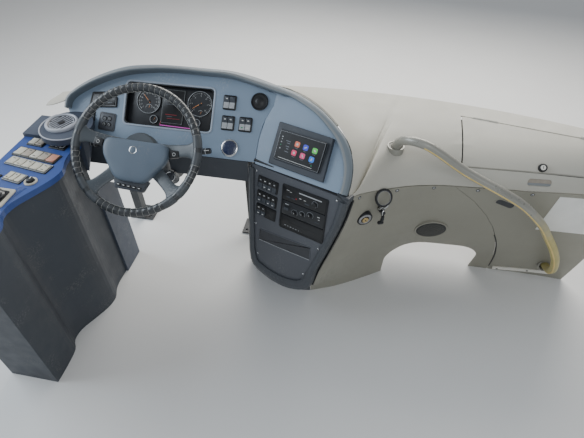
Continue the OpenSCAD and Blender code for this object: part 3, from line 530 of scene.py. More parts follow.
def dial(p, place, r, start, end, marks, needle, digits=""):
    """A dial: dished face, edge, marks with every fifth long, numbers and a needle."""
    p.turn(place, DIAL, 72, (r + 1, 0), (r + 1, 5), (r, 6.4), (r - 1.6, 6.2), (r - 2.6, 3.4), (0.5, 2.4))
    p.add(ring(r - 0.8, 1, 72, 8), place @ move(0, 0, 6.3), PALE)
    digits = digits.split()
    for i in range(marks + 1):
        a = start + (end - start) * i / marks
        out, w, h = (0.86, 0.07, 0.016) if i % 5 else (0.83, 0.13, 0.03)
        p.mark(place @ move(0, 0, 0, a) @ move(r * out, 0), WHITE, r * w, r * h, 2.4, 3.4, 0.1)
        if digits and i % 5 == 0:
            at = place @ move(0.66 * r * cos(radians(a)), 0.66 * r * sin(radians(a)), 2.9)
            number(p, at, digits[i // 5], r * 0.045, WHITE)
    hand = [Vector((x * r, y * r)) for x, y in ((-0.16, -0.03), (0.72, -0.008), (0.72, 0.008),
                                                (-0.16, 0.03))]
    p.add(slab(hand, [(0, 3.6), (0, 4.4)]), place @ move(0, 0, 0, needle), AMBER)
    p.turn(place, BLACK, 24, (0.1 * r, 2.6), (0.1 * r, 4.6), (0.07 * r, 5.4))


def rocker(p, place, w, h, low, high, lower, upper, mark=None, sign=None):
    """A rocker key in two halves, the lower one standing up, each with its own finish and mark."""
    for cuts, lift, mat in (((-1, -0.93, -0.5, 0), 1, lower), ((0, 0.5, 0.93, 1), 0.3, upper)):
        loops = []
        for t in cuts:
            z = high - 1.8 + 1.8 * abs(t) * lift - (abs(t) == 1)
            section = ((-1, low), (1, low), (1, z - 0.8), (0.9, z), (-0.9, z), (-1, z - 0.8))
            loops.append([(x * w / 2, t * h / 2, y) for x, y in section])
        p.add(rings(loops), place, mat)
    for colour, v, z, tilt in ((mark, 0.3 * h, high - 1.3, 2),
                               (sign, -0.3 * h, high - 0.7, -degrees(atan2(3.6, h)))):
        if colour:
            p.key(place @ move(0, v, z, 0, tilt), colour, (0.36 * w, 0.09 * h, 0.5, 2), (-0.4, 0.35, 0.2))


def make_cluster():
    bed = DRV @ move(-5, 6, -20)
    p = Piece("gauges")
    p.key(bed, DIAL, (326, 146, 15), (0.1, 2, 0.8))
    dial(p, bed @ move(-85, 14, 1.6), 46, 225, -45, 60, 132, "0 10 20 30 40 50 60 80 100 120 130 140 150")
    dial(p, bed @ move(113, 22, 1.6), 46, 225, -45, 30, 214, "0 5 10 15 20 25 30")
    for x, y in ((-83, -9), (118, -13)):
        at = bed @ move(x, y, 4.2)
        p.add(ring(12.5, 0.5, 40, 6), at, WHITE)
        for i in range(9):
            p.mark(at @ move(0, 0, 0, 200 - i * 27) @ move(10.5, 0), WHITE, 2.2, 0.6, -0.6, 0.4, 0.1)
        p.mark(at @ move(0, 0, 0.2, 70) @ move(4, 0), AMBER, 10, 0.8, 0, 0.7)
    dial(p, bed @ move(-58, -51, 1.6), 15, 200, -20, 10, 60)
    dial(p, bed @ move(108, -49, 1.6), 15, 200, -20, 10, 120)
    screen = bed @ move(11, 2, 1.8)
    p.key(screen, BLACK, (86, 126, 4), (0, 4.6, 1.2))
    p.key(screen, GLASS, (76, 116), (4.2, 4.9, 0.3))
    p.edge(screen, LIP_AND_HIGHLIGHT, (83, 123, 3), (0, 4.2), (0, 5.3), (1, 5.3), (1, 4.2))
    for x, y, w, h, mat in ((-4, -30, 44, 1.6, RED), (6, -44, 50, 1.2, RED), (-10, -37, 22, 1, DIAL_INK),
                            (14, 30, 34, 1.2, DIAL_INK), (-18, 36, 16, 1.2, DIAL_INK),
                            (0, 8, 58, 0.8, DIAL_INK)):
        p.mark(screen @ move(x, y), mat, w, h, 4.8, 5.15)
    for i in range(7):
        p.add(block(disc(1.7, 12), 1.8, 2.5, 0.3), bed @ move(-44 + i * 0.2, 52 - i * 7), DIAL_INK)
    p.wire(bed, GLOW, [(-33, -69, 6), (20, -70, 6.4), (92, -71, 6)], 6, 1.3, 8)
    p.add(tube([(-33, -69, 6), (-31, -55, 6)], 1.1, 8), bed, RED)
    p.make("glossy", "dials")

    p = Piece("cluster_edge")
    # The bead round the cluster opening is lighter: a painted highlight on its edge
    p.edge(DRV @ move(-5, 6), SHELL_HIGHLIGHT, (350, 170, 24, 8), (0, -0.3), (0.6, 1.6), (2.6, 2.6), (5.6, 2.4),
           (8, 0.6), (9.6, -3.5))
    p.make("shell_grey", sharp=50)


def make_panel_fittings():
    p = Piece("rocker_switches")
    # Place of each pair of rockers, and the mark and sign of each
    for x, y, *pair in ((224, 41, (WHITE, None), (None, None)), (226, -32, (WHITE, None), (WHITE, None)),
                        (291, -31, (WHITE, GREEN), (WHITE, WHITE))):
        at = DRV @ move(x, y)
        p.key(at, BLACK, (49, 53, 6), (0.1, 3.4, 1.2))
        p.edge(at, BLACK, (45, 47, 3), (0, 3), (0, 4.4), (1, 4.8), (2, 4.2), (2, 3))
        for dx, (mark, sign) in zip((-10.4, 10.4), pair):
            rocker(p, at @ move(dx, 0), 19, 42, 2.9, 9, PALE, DARK, mark, sign)
    at = DRV @ move(-299, -58)
    p.key(at, BLACK, (22, 38, 4), (0.1, 2.6, 1))
    rocker(p, at, 17, 32, 2.4, 7, DARK, BLACK, WHITE)
    p.make("black_plastic", "rockers")

    p = Piece("keypad_and_display")
    pad = DRV @ move(-238, -74, 0, -3)
    p.key(pad, PLATE, (66, 68, 9), (0.1, 3.6, 1.6))
    p.edge(pad, BLACK, (58, 60, 7), (0, 3.2), (0.5, 4.2), (1.4, 4.2), (2, 3.2))
    for x, y in ((-10, 11), (9, 12), (-9, -10), (10, -10)):
        at = pad @ move(x, y)
        p.turn(at, BLACK, 28, (8.5, 3.2), (8.5, 6), (7.6, 6.9), (4, 6.3), (0.5, 6.1))
        p.mark(at @ move(0, 2.5), PALE, 6, 1.3, 6.2, 7, 0.3)
        p.add(ring(3.6, 0.6, 20, 6, 0.7), at @ move(0, -1, 6.6), PALE)
    edge = soft([(-316, -28), (-252, -22), (-205, -18), (-206, 20), (-257, 36), (-306, 30)], 6)
    p.add(slab(edge, [(0, 0.1), (0, 4.5), (1, 5.6), (3, 6), (4, 5.4)]), DRV, BLACK)
    p.add(slab(inset(edge, 8), [(0, 5.2), (0, 5.9), (0.4, 6)]), DRV, GLASS)
    for x, y, w in ((-276, 14, 22), (-240, 12, 26), (-270, -2, 30), (-232, -4, 18)):
        p.mark(DRV @ move(x, y, 0, 3), DIAL_INK, w, 1.6, 5.8, 6.3, 0.3)
    p.make("black_plastic", "keypad")

    p = Piece("socket_cover")
    at = DRV @ move(333, 55)
    p.turn(at, BLACK, 56, (31, 0), (31.5, 3), (31, 6), (29.5, 7.4), (27.5, 7.4), (26, 5.6), (25, 4.4),
             (18, 4), (14, 4.6), (11, 6), (6, 6.6), (0.5, 6.8))
    for i in range(24):
        p.key(at @ move(0, 0, 0, i * 15) @ move(28.6, 0), BLACK, (2.4, 1.4, 0.4, 2), (6.6, 8, 0.4))
    p.make("black_plastic", "plug")

    p = Piece("plain_badge")
    at = DRV @ move(243, -120)
    p.turn(at, CHROME, 64, (32, 0), (32, 3), (30.6, 5), (28.4, 5.8), (26.4, 5.2), (25.6, 3.4), (0.5, 3.4))
    p.turn(at, BADGE, 56, (25.2, 3.2), (25, 4.2), (20, 5.4), (12, 6.3), (0.5, 6.7))
    p.make("chrome", "round_badge")


def make_radio():
    p = Piece("radio_unit")
    base = UP @ move(5, 0, 0.4)
    outline = soft([(-104, -80), (116, -71), (96, 76), (-115, 68)], 5)
    slope = 0.1226
    loops = [[(q.x, q.y, 0) for q in outline]]
    for d, down in ((0, 2.4), (0.7, 0.7), (2.4, 0)):
        loops.append([(q.x, q.y, 20 + min(0, slope * q.y) - down) for q in inset(outline, d)])
    p.add(rings(loops), base, DARK)
    face = base @ move(0, -1, 12.3, 3, 7)
    p.edge(face, DARK, (184, 108, 5), (0, 7.6), (0.4, 8.8), (1.6, 9.2), (3, 8.4), (3, 7))
    p.plate(face, BLACK, (178, 102, 4), (0, 4), (0, 12.2), (0.8, 13.4), (2.6, 13.8))
    p.plate(face, GLASS, (172, 96, 3), (0, 13.4), (0, 14.1), (0.5, 14.3))
    top = face @ move(0, 0, 14.2)
    p.edge(top, PALE_EDGE, (174.5, 98.5, 3.4), (0, -0.7), (0, 0.15), (0.9, 0.25), (0.9, -0.7))
    icons = ((-12.6, 18.8), (20.6, 16.7), (56, 15.7), (-16.8, -11.8), (17, -12.8), (52.7, -14.7))
    for i, (x, y) in enumerate(icons):
        w, h, r = ((8, 8, 3.8), (10, 4, 1), (5, 9, 2))[i % 3]
        p.mark(top @ move(x, y, 0, -2), ICONS[i], 19, 19, -0.2, 0.3, 5.5, 4)
        p.mark(top @ move(x, y, 0, i * 31), WHITE, w, h, 0.2, 0.45, r, 4)
        p.mark(top @ move(x, y - 13.5, 0, -2), DIAL_INK, 11, 1.1, -0.2, 0.25, 0.3)
    for y, w, mat in ((30, 5, PALE), (22, 3, PALE), (12, 5, PALE), (2, 3, GREEN), (-10, 5, PALE)):
        p.mark(top @ move(-74, y), mat, w, 3.4, -0.2, 0.3, 0.8, 2)
    for x, y, w in ((-48, 20, 18), (-46, 13, 12), (-47, 2, 14), (-45, -6, 9), (-46, -16, 15)):
        p.mark(top @ move(x, y, 0, -2), DIAL_INK, w, 1.8, -0.2, 0.3, 0.4)
    p.mark(top @ move(-5, -42, 0, -0.8), WHITE, 134, 1.5, -0.2, 0.35, 0.4)
    p.add(slab(disc(2, 16), [(0, -0.2), (0, 0.4)]), top @ move(58, -35), GREEN)
    p.make("glossy", "radio", sharp=20)


def make_pod_fittings():
    p = Piece("pod_rockers")
    for k, (x, y, n) in enumerate(((-117, -66, 4), (-116, -126, 4), (-115, -183, 2))):
        at = LOW @ move(x, y, 0, -1.5)
        p.key(at, BLACK, (87, 50, 4), (0.1, 3.2, 1))
        p.edge(at, BLACK, (84, 46, 3), (0, 2.9), (0, 4.2), (0.9, 4.6), (1.8, 4), (1.8, 3))
        for i in range(n):
            rocker(p, at @ move((i - 1.5) * 19.8, 0), 18.2, 40, 2.9, 8.6, DARK, BLACK,
                   WHITE if (i + k) % 3 else PALE, WHITE if (i * 2 + k) % 3 else None)
    # A blank cover takes the place of two keys in the last block
    at = at @ move(19.8, 0)
    p.key(at, BLACK, (37, 40), (2.9, 4.6, 0.7))
    p.edge(at, BLACK, (29, 32), (0, 4.2), (0, 5), (0.9, 5), (0.9, 4.2))
    p.make("black_plastic", "pod_switches")

    p = Piece("card_units")
    base = LOW @ move(38, -123, 0, 2)
    p.plate(base, BLACK, (182, 182, 4), (0, -58), (0, 3.4), (0.5, 4), (3.4, 4.2), (4.2, 2.4), (4.2, -0.8))
    for y, high, mat in ((60, 5.4, BLACK), (0, 4.6, DIAL), (-60, 3.6, GLASS)):
        p.key(base @ move(0, y), mat, (174, 57, 2.4), (-3, high, 1.2))
    one = base @ move(0, 60, 5.4)
    p.key(one @ move(24, 18, 0, -0.5), PALE, (90, 4.2, 1.4), (-0.4, 0.7, 0.3))
    p.key(one @ move(-60, 12), GLASS, (30, 14, 1.5), (-0.4, 0.6, 0.3))
    for x, y, w, h, mat in ((-66, 14, 12, 2, WHITE), (-54, 10, 9, 1.6, WHITE), (-30, -9, 4.6, 4.6, RED),
                            (-14, -2, 8, 2.4, WHITE), (4, -3, 8, 2.4, WHITE), (-62, -12, 16, 5, DARK),
                            (-42, -12, 14, 5, DARK), (14, -14, 18, 5, DARK)):
        p.key(one @ move(x, y), mat, (w, h, 0.7, 2), (-0.3, 0.7, 0.3))
    at = one @ move(44, -3)
    p.turn(at, BLACK, 32, (11, -0.5), (11, 0.6), (8.6, 1.2), (8, 7.4), (7, 8.4), (0.5, 8.4))
    p.add(ring(11.4, 0.5, 36, 6), at @ move(0, 0, 0.4), PALE_EDGE)
    two = base @ move(0, 0, 4.6)
    for x, y, r in ((-32, -8, 9.5), (-1, -1, 8), (30, 6, 9.5)):
        at = two @ move(x, y)
        p.turn(at, BLACK, 32, (r, -0.5), (r, 1.2), (0.82 * r, 1.8), (0.76 * r, 8), (0.66 * r, 9), (0.5, 9))
        p.mark(at @ move(0, 0, 0, 2 * x / 3) @ move(0, 0.35 * r), WHITE, 1.2, 0.6 * r, 8.8, 9.4)
        p.add(ring(r + 3.2, 0.45, 32, 6, 0.72), at @ move(0, 0, 0.1, -40), PALE_EDGE)
    p.key(two @ move(-67, -3), DARK, (20, 11), (-0.4, 2.2, 0.7))
    for x, y, w, mat in ((-66, 16, 16, PALE), (64, 12, 10, WHITE), (60, -12, 18, DARK), (66, 2, 6, WHITE)):
        p.key(two @ move(x, y), mat, (w, 2.6, 0.7, 2), (-0.3, 0.7, 0.3))
    three = base @ move(0, -60, 3.6)
    p.edge(three, BLACK, (166, 48), (0, -0.5), (0, 0.6), (1.4, 0.6), (1.4, -0.5))
    p.mark(three @ move(8, 2), BLACK, 120, 2.2, -0.4, 0.5, 1, 4)
    for i in range(6):
        p.mark(three @ move(-66 + i * 11.4, -13 - i * 0.5), PALE, 7 - i % 2 * 3, 2, -0.3, 0.55, 0.5)
    p.make("black_plastic", "din_stack")

    p = Piece("bare_plate")
    edge = soft([(-137, -322), (95, -309), (91, -248), (-138, -268)], 3)
    p.add(slab(edge, [(0, 0.1), (0.4, 1.2), (1.6, 1.5), (3.4, 1.3), (4.4, 0.6)]), LOW, PLATE)
    # The plate's inner field is darker: painted shade in its recess
    p.add(slab(inset(edge, 5), [(0, 0.3), (0, 1.1), (0.6, 1.3)]), LOW, RECESS_SHADE)
    p.wire(LOW, PALE, [(-133, -319, 1.3), (-20, -313, 1.4), (92, -306, 1.3)], 5, 1.2, 8)
    p.make("dark_trim", "badge_plate", sharp=12)

    p = Piece("pod_screws")
    for x, y in ((-172, -30), (154, -20), (-157, -253), (-136, -391), (75, -385), (119, -242), (-45, -45)):
        p.screw(LOW @ move(x, y, 0, 17 * x), 3.6, 1.8)
    p.make("chrome")


def make_trim():
    knee, side = surface("knee_panel"), surface("side_panel")
    p = Piece("panel_screws")
    for tree, x, z in ((knee, 77, 640), (knee, 206, 603), (knee, 335, 604), (side, 489, 604),
                       (side, 677, 603), (side, 905, 603)):
        at = lie(tree, x, z, x)
        p.turn(at, DARK, 28, (7, -0.4), (7, 0.8), (5.6, 1.2), (4.8, 0.6))
        p.screw(at @ move(0, 0, 0.4), 4.2, 2)
    strip = surface("kick_strip")
    for x, z in ((748, 20), (874, 40)):
        p.screw(lie(strip, x, z), 4.6, 2, BLACK)
    # Oval plate on the side panel, and the finger grip in the cowl
    at = lie(side, 604, 540, -24, 25)
    p.plate(at, WARM, (84, 34, 17, 8), (0, -2), (0, 0.8), (1.6, 1.6), (3.4, 1.2), (5, 0.2))
    # Its hollow is darker: painted shade in the recess
    p.mark(at, RECESS_SHADE, 74, 24, -1, 0.6, 12, 8)
    at = lie(surface("cowl"), 684, 652)
    p.mark(at, TAUPE, 78, 22, -1, 0.8, 8, 6)
    p.plate(at @ move(0, -7), LIP_AND_HIGHLIGHT, (78, 9, 4, 6), (0, -1), (0, 1.6), (1, 2))
    p.make("chrome")

    p = Piece("lock_rosette")
    at = lie(knee, 101, 512, 0, 20, 0.7)
    p.turn(at, BLACK, 48, (30, -16), (30, 1), (28.6, 3), (26.4, 3.6), (24, 2))
    p.turn(at, SHAFT, 48, (24.6, 0), (24.2, 3.4), (21, 5.2), (17, 5.2), (15.4, 3.4))
    p.turn(at, BLACK, 48, (15.6, 2), (15.4, 3.8), (12, 4))
    p.turn(at, BRASS, 36, (12.2, 3), (12, 7.2), (10.6, 8.4), (0.5, 8.6))
    p.mark(at @ move(0, 0, 0, 25), BLACK, 2.2, 12, 8.2, 9, 0.8, 3)
    p.make("chrome")

    # Ring on a clip for the strap, hung from a boss on the knee panel
    p = Piece("strap_ring")
    loop = BUS @ move(161, 70, 598, 30, 62)
    p.add(ring(30, 4.2, 72, 12), loop, BLACK)
    p.add(ring(25.6, 0.9, 64, 6), loop @ move(0, 0, 2.6), CHROME)
    p.wire(BUS, CHROME, [(168, 60, 572), (162, 62, 562), (154, 70, 546), (150, 84, 530)], 4, 4.2, 10)
    p.wire(BUS, CHROME, [(180, 58, 576), (172, 61, 560), (160, 70, 542), (152, 88, 528)], 4, 2.2, 8)
    boss = BUS @ move(148, 122, 528, 20, 90)
    p.turn(boss, BLACK, 32, (12, 14), (12, 40), (11, 44), (8, 46), (7.4, 56), (9, 58), (9, 61), (7, 62),
             (0.5, 62))
    clip = boss @ move(0, 0, 58)
    p.wire(clip, CHROME, [(0, 0, -4), (3, 9, 0), (0, 15, 4), (-5, 10, 6), (-3, -2, 4), (0, -16, 2)], 5, 2, 8)
    p.wire(clip, BLACK, [(0, -10, 2), (1, -22, 3), (0, -34, 2), (-2, -46, -2)], 4,
           [4, 5, 6, 6, 6, 6, 7, 7, 6, 5.5, 5, 4.5, 4], 12)
    p.turn(clip @ move(-2, -50, -3, 0, 40), BLACK, 28, (3, -7), (9, -6), (12, -1), (12, 3), (9, 7), (3, 8))
    p.make("chrome", "ring_holder")

    p = Piece("speaker")
    at = lie(knee, 383, 325, 0, 60)
    p.turn(at, WARM, 72, (68, -14), (68, 2.4), (66.5, 4), (63.5, 4.4), (61, 3.2), (59.5, 1.6))
    p.add(ring(66.9, 1.3, 72, 6), at @ move(0, 0, 1.2), DARK)
    p.turn(at, BLACK, 64, (59.6, -3), (59.6, 1.6), (56, 2.6), (0.5, 3.4))
    for i in range(-10, 11):
        for j in range(-12, 13):
            x, y = i * 5.2 + (j % 2) * 2.6, j * 4.5
            d = hypot(x, y)
            if d < 54:
                p.turn(at @ move(x, y), MESH_GREY, 6, (2, 2.2), (1.7, 3.9 - 0.012 * d))
    p.make("black_plastic", "knee_vent")

    # Bare sheet that follows the side panel, on a grid of 12 by 6 cells
    p = Piece("blank_sign")
    grid = [[lie(side, *mix(mix((772, 600), (768, 394), j / 6), mix((1012, 592), (1012, 386), j / 6),
                            i / 12)) for j in range(7)] for i in range(13)]
    edge = grid[0] + [row[6] for row in grid[1:]] + grid[12][5::-1] + [row[0] for row in grid[11:0:-1]]
    low, high = Vector((0, 0, -0.4)), Vector((0, 0, 1.4))
    p.add(([m @ high for row in grid for m in row],
           [[i * 7 + j, i * 7 + j + 1, i * 7 + j + 8, i * 7 + j + 7] for i in range(12) for j in range(6)]),
          METRES, SIGN)
    p.add(rings([[m @ h for m in edge] for h in (low, high)], False), METRES, SIGN)
    p.make("cowl_light")

    # Front rail, with the yellow strip let into its underside and the yellow lower grip
    p = Piece("rail_tube")
    path = catmull([(x + X_OFF, y, z) for x, y, z in RAIL_PATH], 6)
    radius = 16
    n = len(path)
    # The metal turns to yellow over the shares of its length from 0.49 on
    cuts = [0] + [int(n * (0.49 + 0.027 * i)) for i in range(BLENDS + 1)] + [n - 1]
    for a, b, mat in zip(cuts, cuts[1:], [RAIL] + RAIL_BLEND + [YELLOW]):
        p.add(tube(path[a:b + 1], radius, 24), UNIT, mat)
    strip = []
    for i in range(int(n * 0.2), n - 9):
        d = (path[i + 1] - path[i - 1]).normalized()
        out = Vector((-0.3, -0.92, -0.3))
        strip.append(path[i] + (out - d * out.dot(d)).normalized() * (radius - 1.4))
    p.add(tube(strip, 3.4, 10), UNIT, STRIP)
    p.make("rail_metal", "rail")

    p = Piece("lid_lock_face")
    at = BUS @ move(684, 222, 690, 0, 42)
    p.turn(at, BLACK, 40, (14.6, -2), (14.6, 11), (13.6, 14), (11.6, 15.4), (9.6, 14.2), (9.2, 12.6))
    p.turn(at, ALU, 36, (9.4, 4), (9.4, 13.2), (8.4, 14.4), (0.5, 14.8))
    p.mark(at, BLACK, 1.8, 9, 14.2, 15.1, 0.6, 3)
    p.make("chrome", "lid_lock", body="lid")


def make_backing():
    """Black strips a few millimetres behind the open seams, and a dark ledge under the lid's edges: painted
    shade that makes the seams read dark.
    """
    p = Piece("seam_painted_shade")
    # Black strips behind the pod's seams and between the knee and side panels, and a dark block at the pod's
    # corner: painted shade in the seams
    for v in (3, -6):
        p.add(tube([(-190, v, -13), (0, v, -13), (187, v, -13)], 7.5, 12), LOW, BLACK)
    p.wire(BUS, BLACK, [(641, 252, 325), (668, 271, 265), (695, 301, 172), (707, 333, 80), (711, 350, 30)],
           5, 5, 10)
    p.wire(BUS, BLACK, [(636, 242.5, 325), (663, 261.5, 265), (690, 291, 172), (704, 323.5, 80),
                        (708, 339.5, 35)], 6, 2.8, 8)
    p.wire(LOW, BLACK, [(x, y, -30) for x, y in ((199, -14), (185, -116), (155, -243), (127, -350),
                                                 (111, -440))], 5, 4.5, 10)
    p.add(block(soft([(157, -17), (198, -17), (199, 6), (151, 10)], 4), -32, 7, 5), LOW, RIM)
    p.make("black_plastic")

    p = Piece("hood_backing")
    sheet = soft([(-225, 112), (-60, 124), (-58, 160), (-112, 178), (-180, 186), (-225, 178)], 6)
    p.add(block(sheet, -11, -7, 1), UP, SHELL_SKY_TINT)
    fill = soft([(129, 134), (170, 133), (214, 120), (255, 112), (292, 101), (320, 90), (356, 75),
                 (362, 104), (320, 124), (292, 134), (222, 143), (132, 146)], 2)
    p.add(block(fill, -6, -0.8, 0.6), DRV, SHELL_SKY_TINT)
    p.wire(UP, COWL, [(x, y, -12) for x, y in ((-150, 180), (-113, 180), (-68, 175), (-10, 162), (38, 144),
                                               (84, 121))], 5, 5, 10)
    p.make("shell_grey")

    trees = surface("cowl"), surface("lid")
    corner = Vector((412, 428, 0))
    deep, least = 12, 610  # how far the ledge lies under the skin, and where it has run off the skin

    def below(q):
        start = Vector(((q.x + X_OFF) * MM, q.y * MM, 2))
        hits = [t.ray_cast(start, Vector((0, 0, -1)))[0] for t in trees]
        return Vector((q.x, q.y, max([h.z / MM for h in hits if h] + [0]) - deep))

    # A dark ledge under the lid's edges: painted shade in the lid's seam
    p = Piece("lid_ledge_painted_shade")
    for a, b, inward in (((2.5, -8), (2.5, -236), (1, 0)), ((8, -235.5), (240, -222), (0, 1)),
                         ((300, -219.5), (552, -206), (0, 1)), ((557, -208), (557, -98), (-1, 0))):
        a, b, w = Vector((*a, 0)), Vector((*b, 0)), Vector((*inward, 0))
        down = Vector((0, 0, 2.4))
        loops = []
        for k in range(9):
            q = corner + a + (b - a) * k / 8
            near, far = below(q - 9 * w), below(q + 9 * w)
            if min(near.z, far.z) >= least:
                far += (far - near) * 0.4
                loops.append([near, far, far - down, near - down])
        p.add(rings(loops), BUS, RECESS_SHADE)
    p.make("black_plastic")


def make_console():
    top = BUS @ move(0, 0, CONSOLE_TOP)
    p = Piece("console_keys")
    # Blocks of keys: place, width, height, turn, finish of the edge and of each key
    blocks = [(-1080, -6, 62, 40, -6, BLACK, (CREAM, TAUPE)), (-993, -17, 62, 26, -6, BLACK, (BLACK,) * 3),
              (-1040, -76, 172, 46, -8, BLACK, (CREAM, TAUPE, CREAM, TAUPE, SALMON)),
              (-1036, -130, 168, 42, -9, PALE_EDGE, (CREAM,) * 5),
              (-1040, -200, 70, 42, -10, PALE_EDGE, (CREAM,) * 3)]
    for b, (x, y, w, h, turn, edge, tones) in enumerate(blocks):
        at = top @ move(x, y, 0, turn)
        p.key(at, BLACK, (w + 4, h + 4, 4), (0.1, 3.4, 1.2))
        p.edge(at, edge, (w + 1, h + 1, 3), (0, 3), (0, 4.2), (0.9, 4.6), (1.8, 3.8), (1.8, 3))
        pitch = (w - 4) / len(tones)
        for i, tone in enumerate(tones):
            key = at @ move((i - (len(tones) - 1) / 2) * pitch, 0)
            mark = DARK if (i + b) % 2 else None
            sign = BLACK if (i + b) % 3 == 1 else None
            if tone == BLACK:
                mark, sign = WHITE, None
            rocker(p, key, pitch - 4.2, h - 8, 2.9, 8.2, tone, tone, mark, sign)
            if tone == BLACK:
                p.edge(key, PALE, (pitch - 5, h - 9), (0, 6), (0, 8.4), (1.1, 8.4), (1.1, 6))
    at = top @ move(-978, -208)
    p.turn(at, CREAM, 44, (21, 0.1), (21, 3), (19, 5), (16, 5.4), (13.4, 4), (12.6, 2.4))
    p.turn(at, BLACK, 32, (12.8, 2), (12.4, 8), (10.8, 12), (8, 13), (0.5, 12.6))
    p.mark(at @ move(0, 5), WHITE, 2.6, 11, 12.6, 13.8, 0.8, 2)
    p.key(top @ move(-1098, -200, 0, -10), BLACK, (20, 12, 3), (0.1, 3, 0.8))
    p.make("cream", "console_switches", "console_frames")

    p = Piece("brake_lever")
    at = top @ move(-1040, -298)
    p.key(at, CREAM, (90, 84, 9), (0.1, 5, 2))
    p.key(at, BLACK, (66, 60, 8), (4.6, 7.4, 1.6))
    p.turn(at, LEATHER, 36, (28, 7), (29, 11), (24, 14), (25.5, 18), (20, 21), (21.5, 25), (16, 28),
             (17, 32), (12.5, 35), (13, 39), (9.4, 42))
    p.turn(at, CHROME, 24, (8.6, 40), (9.6, 44), (8.4, 48), (8.4, 54))
    p.turn(at, BLACK, 36, (8, 52), (12, 55), (16.4, 61), (17.4, 68), (16, 74), (11, 79), (5, 81),
             (0.5, 81.4))
    for i in range(6):
        p.mark(at @ move(-36 + i * 14, -36), BLACK, 5, 1.4, 4.8, 5.4, 0.4)
    p.make("black_plastic", "console_lever")

    p = Piece("console_outlet")
    at = top @ move(-1040, -420)
    p.plate(at, BLACK, (124, 114, 8), (0, 0.1), (0, 4.4), (2, 6.6), (6, 6.6), (8, 3.4), (8.4, 1.6))
    for y in range(-40, 41, 10):
        p.add(bar(48, y, ((-4.6, 1.8), (-3.6, 2.6), (3.8, 6.2), (3.2, 6.8), (-4.2, 3.6))), at, PLATE)
    for x in (-24, 0, 24):
        p.mark(at @ move(x, 0), PLATE, 2.4, 92, 1.8, 6, 0.6)
    p.make("black_plastic", "console_grille")

    p = Piece("console_ribs")
    for i in range(14):
        p.key(top @ move(-1007 + i * 1.5, -310 + i * 5.4, 0, -8), NAVY, (30, 2.6, 1, 2), (0.05, 1.8, 0.8))
    p.make("navy")


def skin(node, name, body="dashboard", change=None):
    """A copy of a solid's own mesh, shaded smooth across its narrow facets."""
    mesh = nodes[node].data.copy()
    bm = bmesh.new()
    bm.from_mesh(mesh)
    bmesh.ops.remove_doubles(bm, verts=bm.verts, dist=1e-6)
    if change:
        for v in bm.verts:
            change(v.co)
    for e in bm.edges:
        e.smooth = len(e.link_faces) == 2 and e.calc_face_angle(3) < radians(24)
    for f in bm.faces:
        f.smooth = True
    bm.to_mesh(mesh)
    bm.free()
    obj = new_object(name, mesh)
    obj.modifiers.new("normals", "WEIGHTED_NORMAL").keep_sharp = True
    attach(obj, body)
    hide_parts(node)


def make_corner():
    top = BUS @ move(0, 0, CORNER_TOP)
    old, new = (Vector((x + X_OFF, y)) * MM for x, y in (EAR_SOLID[:2], EAR[:2]))

    def ear(co):
        q = co.xy - old
        if co.z > EAR_BASE * MM and q.length < EAR_REACH * MM:
            co.xy = new + Vector((q.x * EAR[2], q.y * EAR[3])) / EAR_SOLID[2]

    skin("corner_pod", "corner_shell", change=ear)

    p = Piece("round_nozzle")
    at = top @ move(-1020, 74, 0.2)
    p.turn(at, PALE_RING, 72, (58, 0.1), (58.6, 5), (57, 9), (54, 11), (51.5, 11.4), (49, 10), (47, 6))
    p.turn(at, BLACK, 64, (47.6, 2), (47.4, 6.6), (45.6, 7.6), (43.8, 6.4), (42.6, 3), (0.5, 2.4))
    for y in range(-33, 34, 11):
        vane = bar(sqrt(41 ** 2 - y ** 2), y, ((-1.2, 2.6), (0.2, 8.4), (1.4, 8.4), (0.4, 2.6)))
        p.add(vane, at @ move(0, 0, 0, 64), VANE)
    p.turn(at, VANE, 32, (13, 2.4), (13, 8), (11.6, 9.4), (8, 9.8), (0.5, 9.8))
    p.key(at @ move(0, 0, 0, 24), PLATE, (16, 3, 1.2), (9.4, 12, 0.8))
    p.make("black_plastic", "air_nozzle")

    p = Piece("ear_piping")
    x, y, a, b = EAR
    turns = [radians(t) for t in range(140, 344, 4)]
    path = [(x + (a - 1.5) * cos(t), y + (b - 1.5) * sin(t), 0.6) for t in turns]
    p.add(tube(path, 2.4, 8), top, PALE_RING)
    p.make("shell_grey")


def make_stalks():
    p = Piece("column_stalks")
    bends = ((49, 8), (120, 17.5), (186, 27), (196, 28.4), (232, 33.5))
    for s in (-1, 1):
        p.wire(WHL, BLACK, [(s * x, y, -100) for x, y in bends], 4,
               [6.4] * 9 + [7.5, 8.5, 9.5, 10.6, 11, 11, 10.6, 9], 20)
        for x, mat in ((198, PALE), (206, DARK), (212, PALE)):
            y = 28.8 + 0.14 * (x - 198)
            p.add(tube([(s * x, y, -100), (s * (x + 2.4), y + 0.3, -100)], 11.3, 20), WHL, mat)
        p.key(WHL @ move(s * 218, 31.6, -89.8, s * 8), WHITE, (18, 3, 1), (0, 1.2, 0.4))
    p.make("black_plastic", "stalks")

    p = Piece("ignition_lock")
    at = WHL @ move(56, -58, -194)
    p.turn(at, CHROME, 48, (21.6, -4), (21.6, 0.8), (19.6, 2.6), (17, 2.8), (15.2, 1.4), (15, -2.6))
    p.turn(at, PLATE, 36, (14.6, -2.8), (14.4, 0.6), (13, 1.6), (0.5, 1.8))
    p.mark(at @ move(0, 0, 0, 20), CHROME, 3, 13, 1.6, 2.4, 1, 3)
    p.make("chrome")


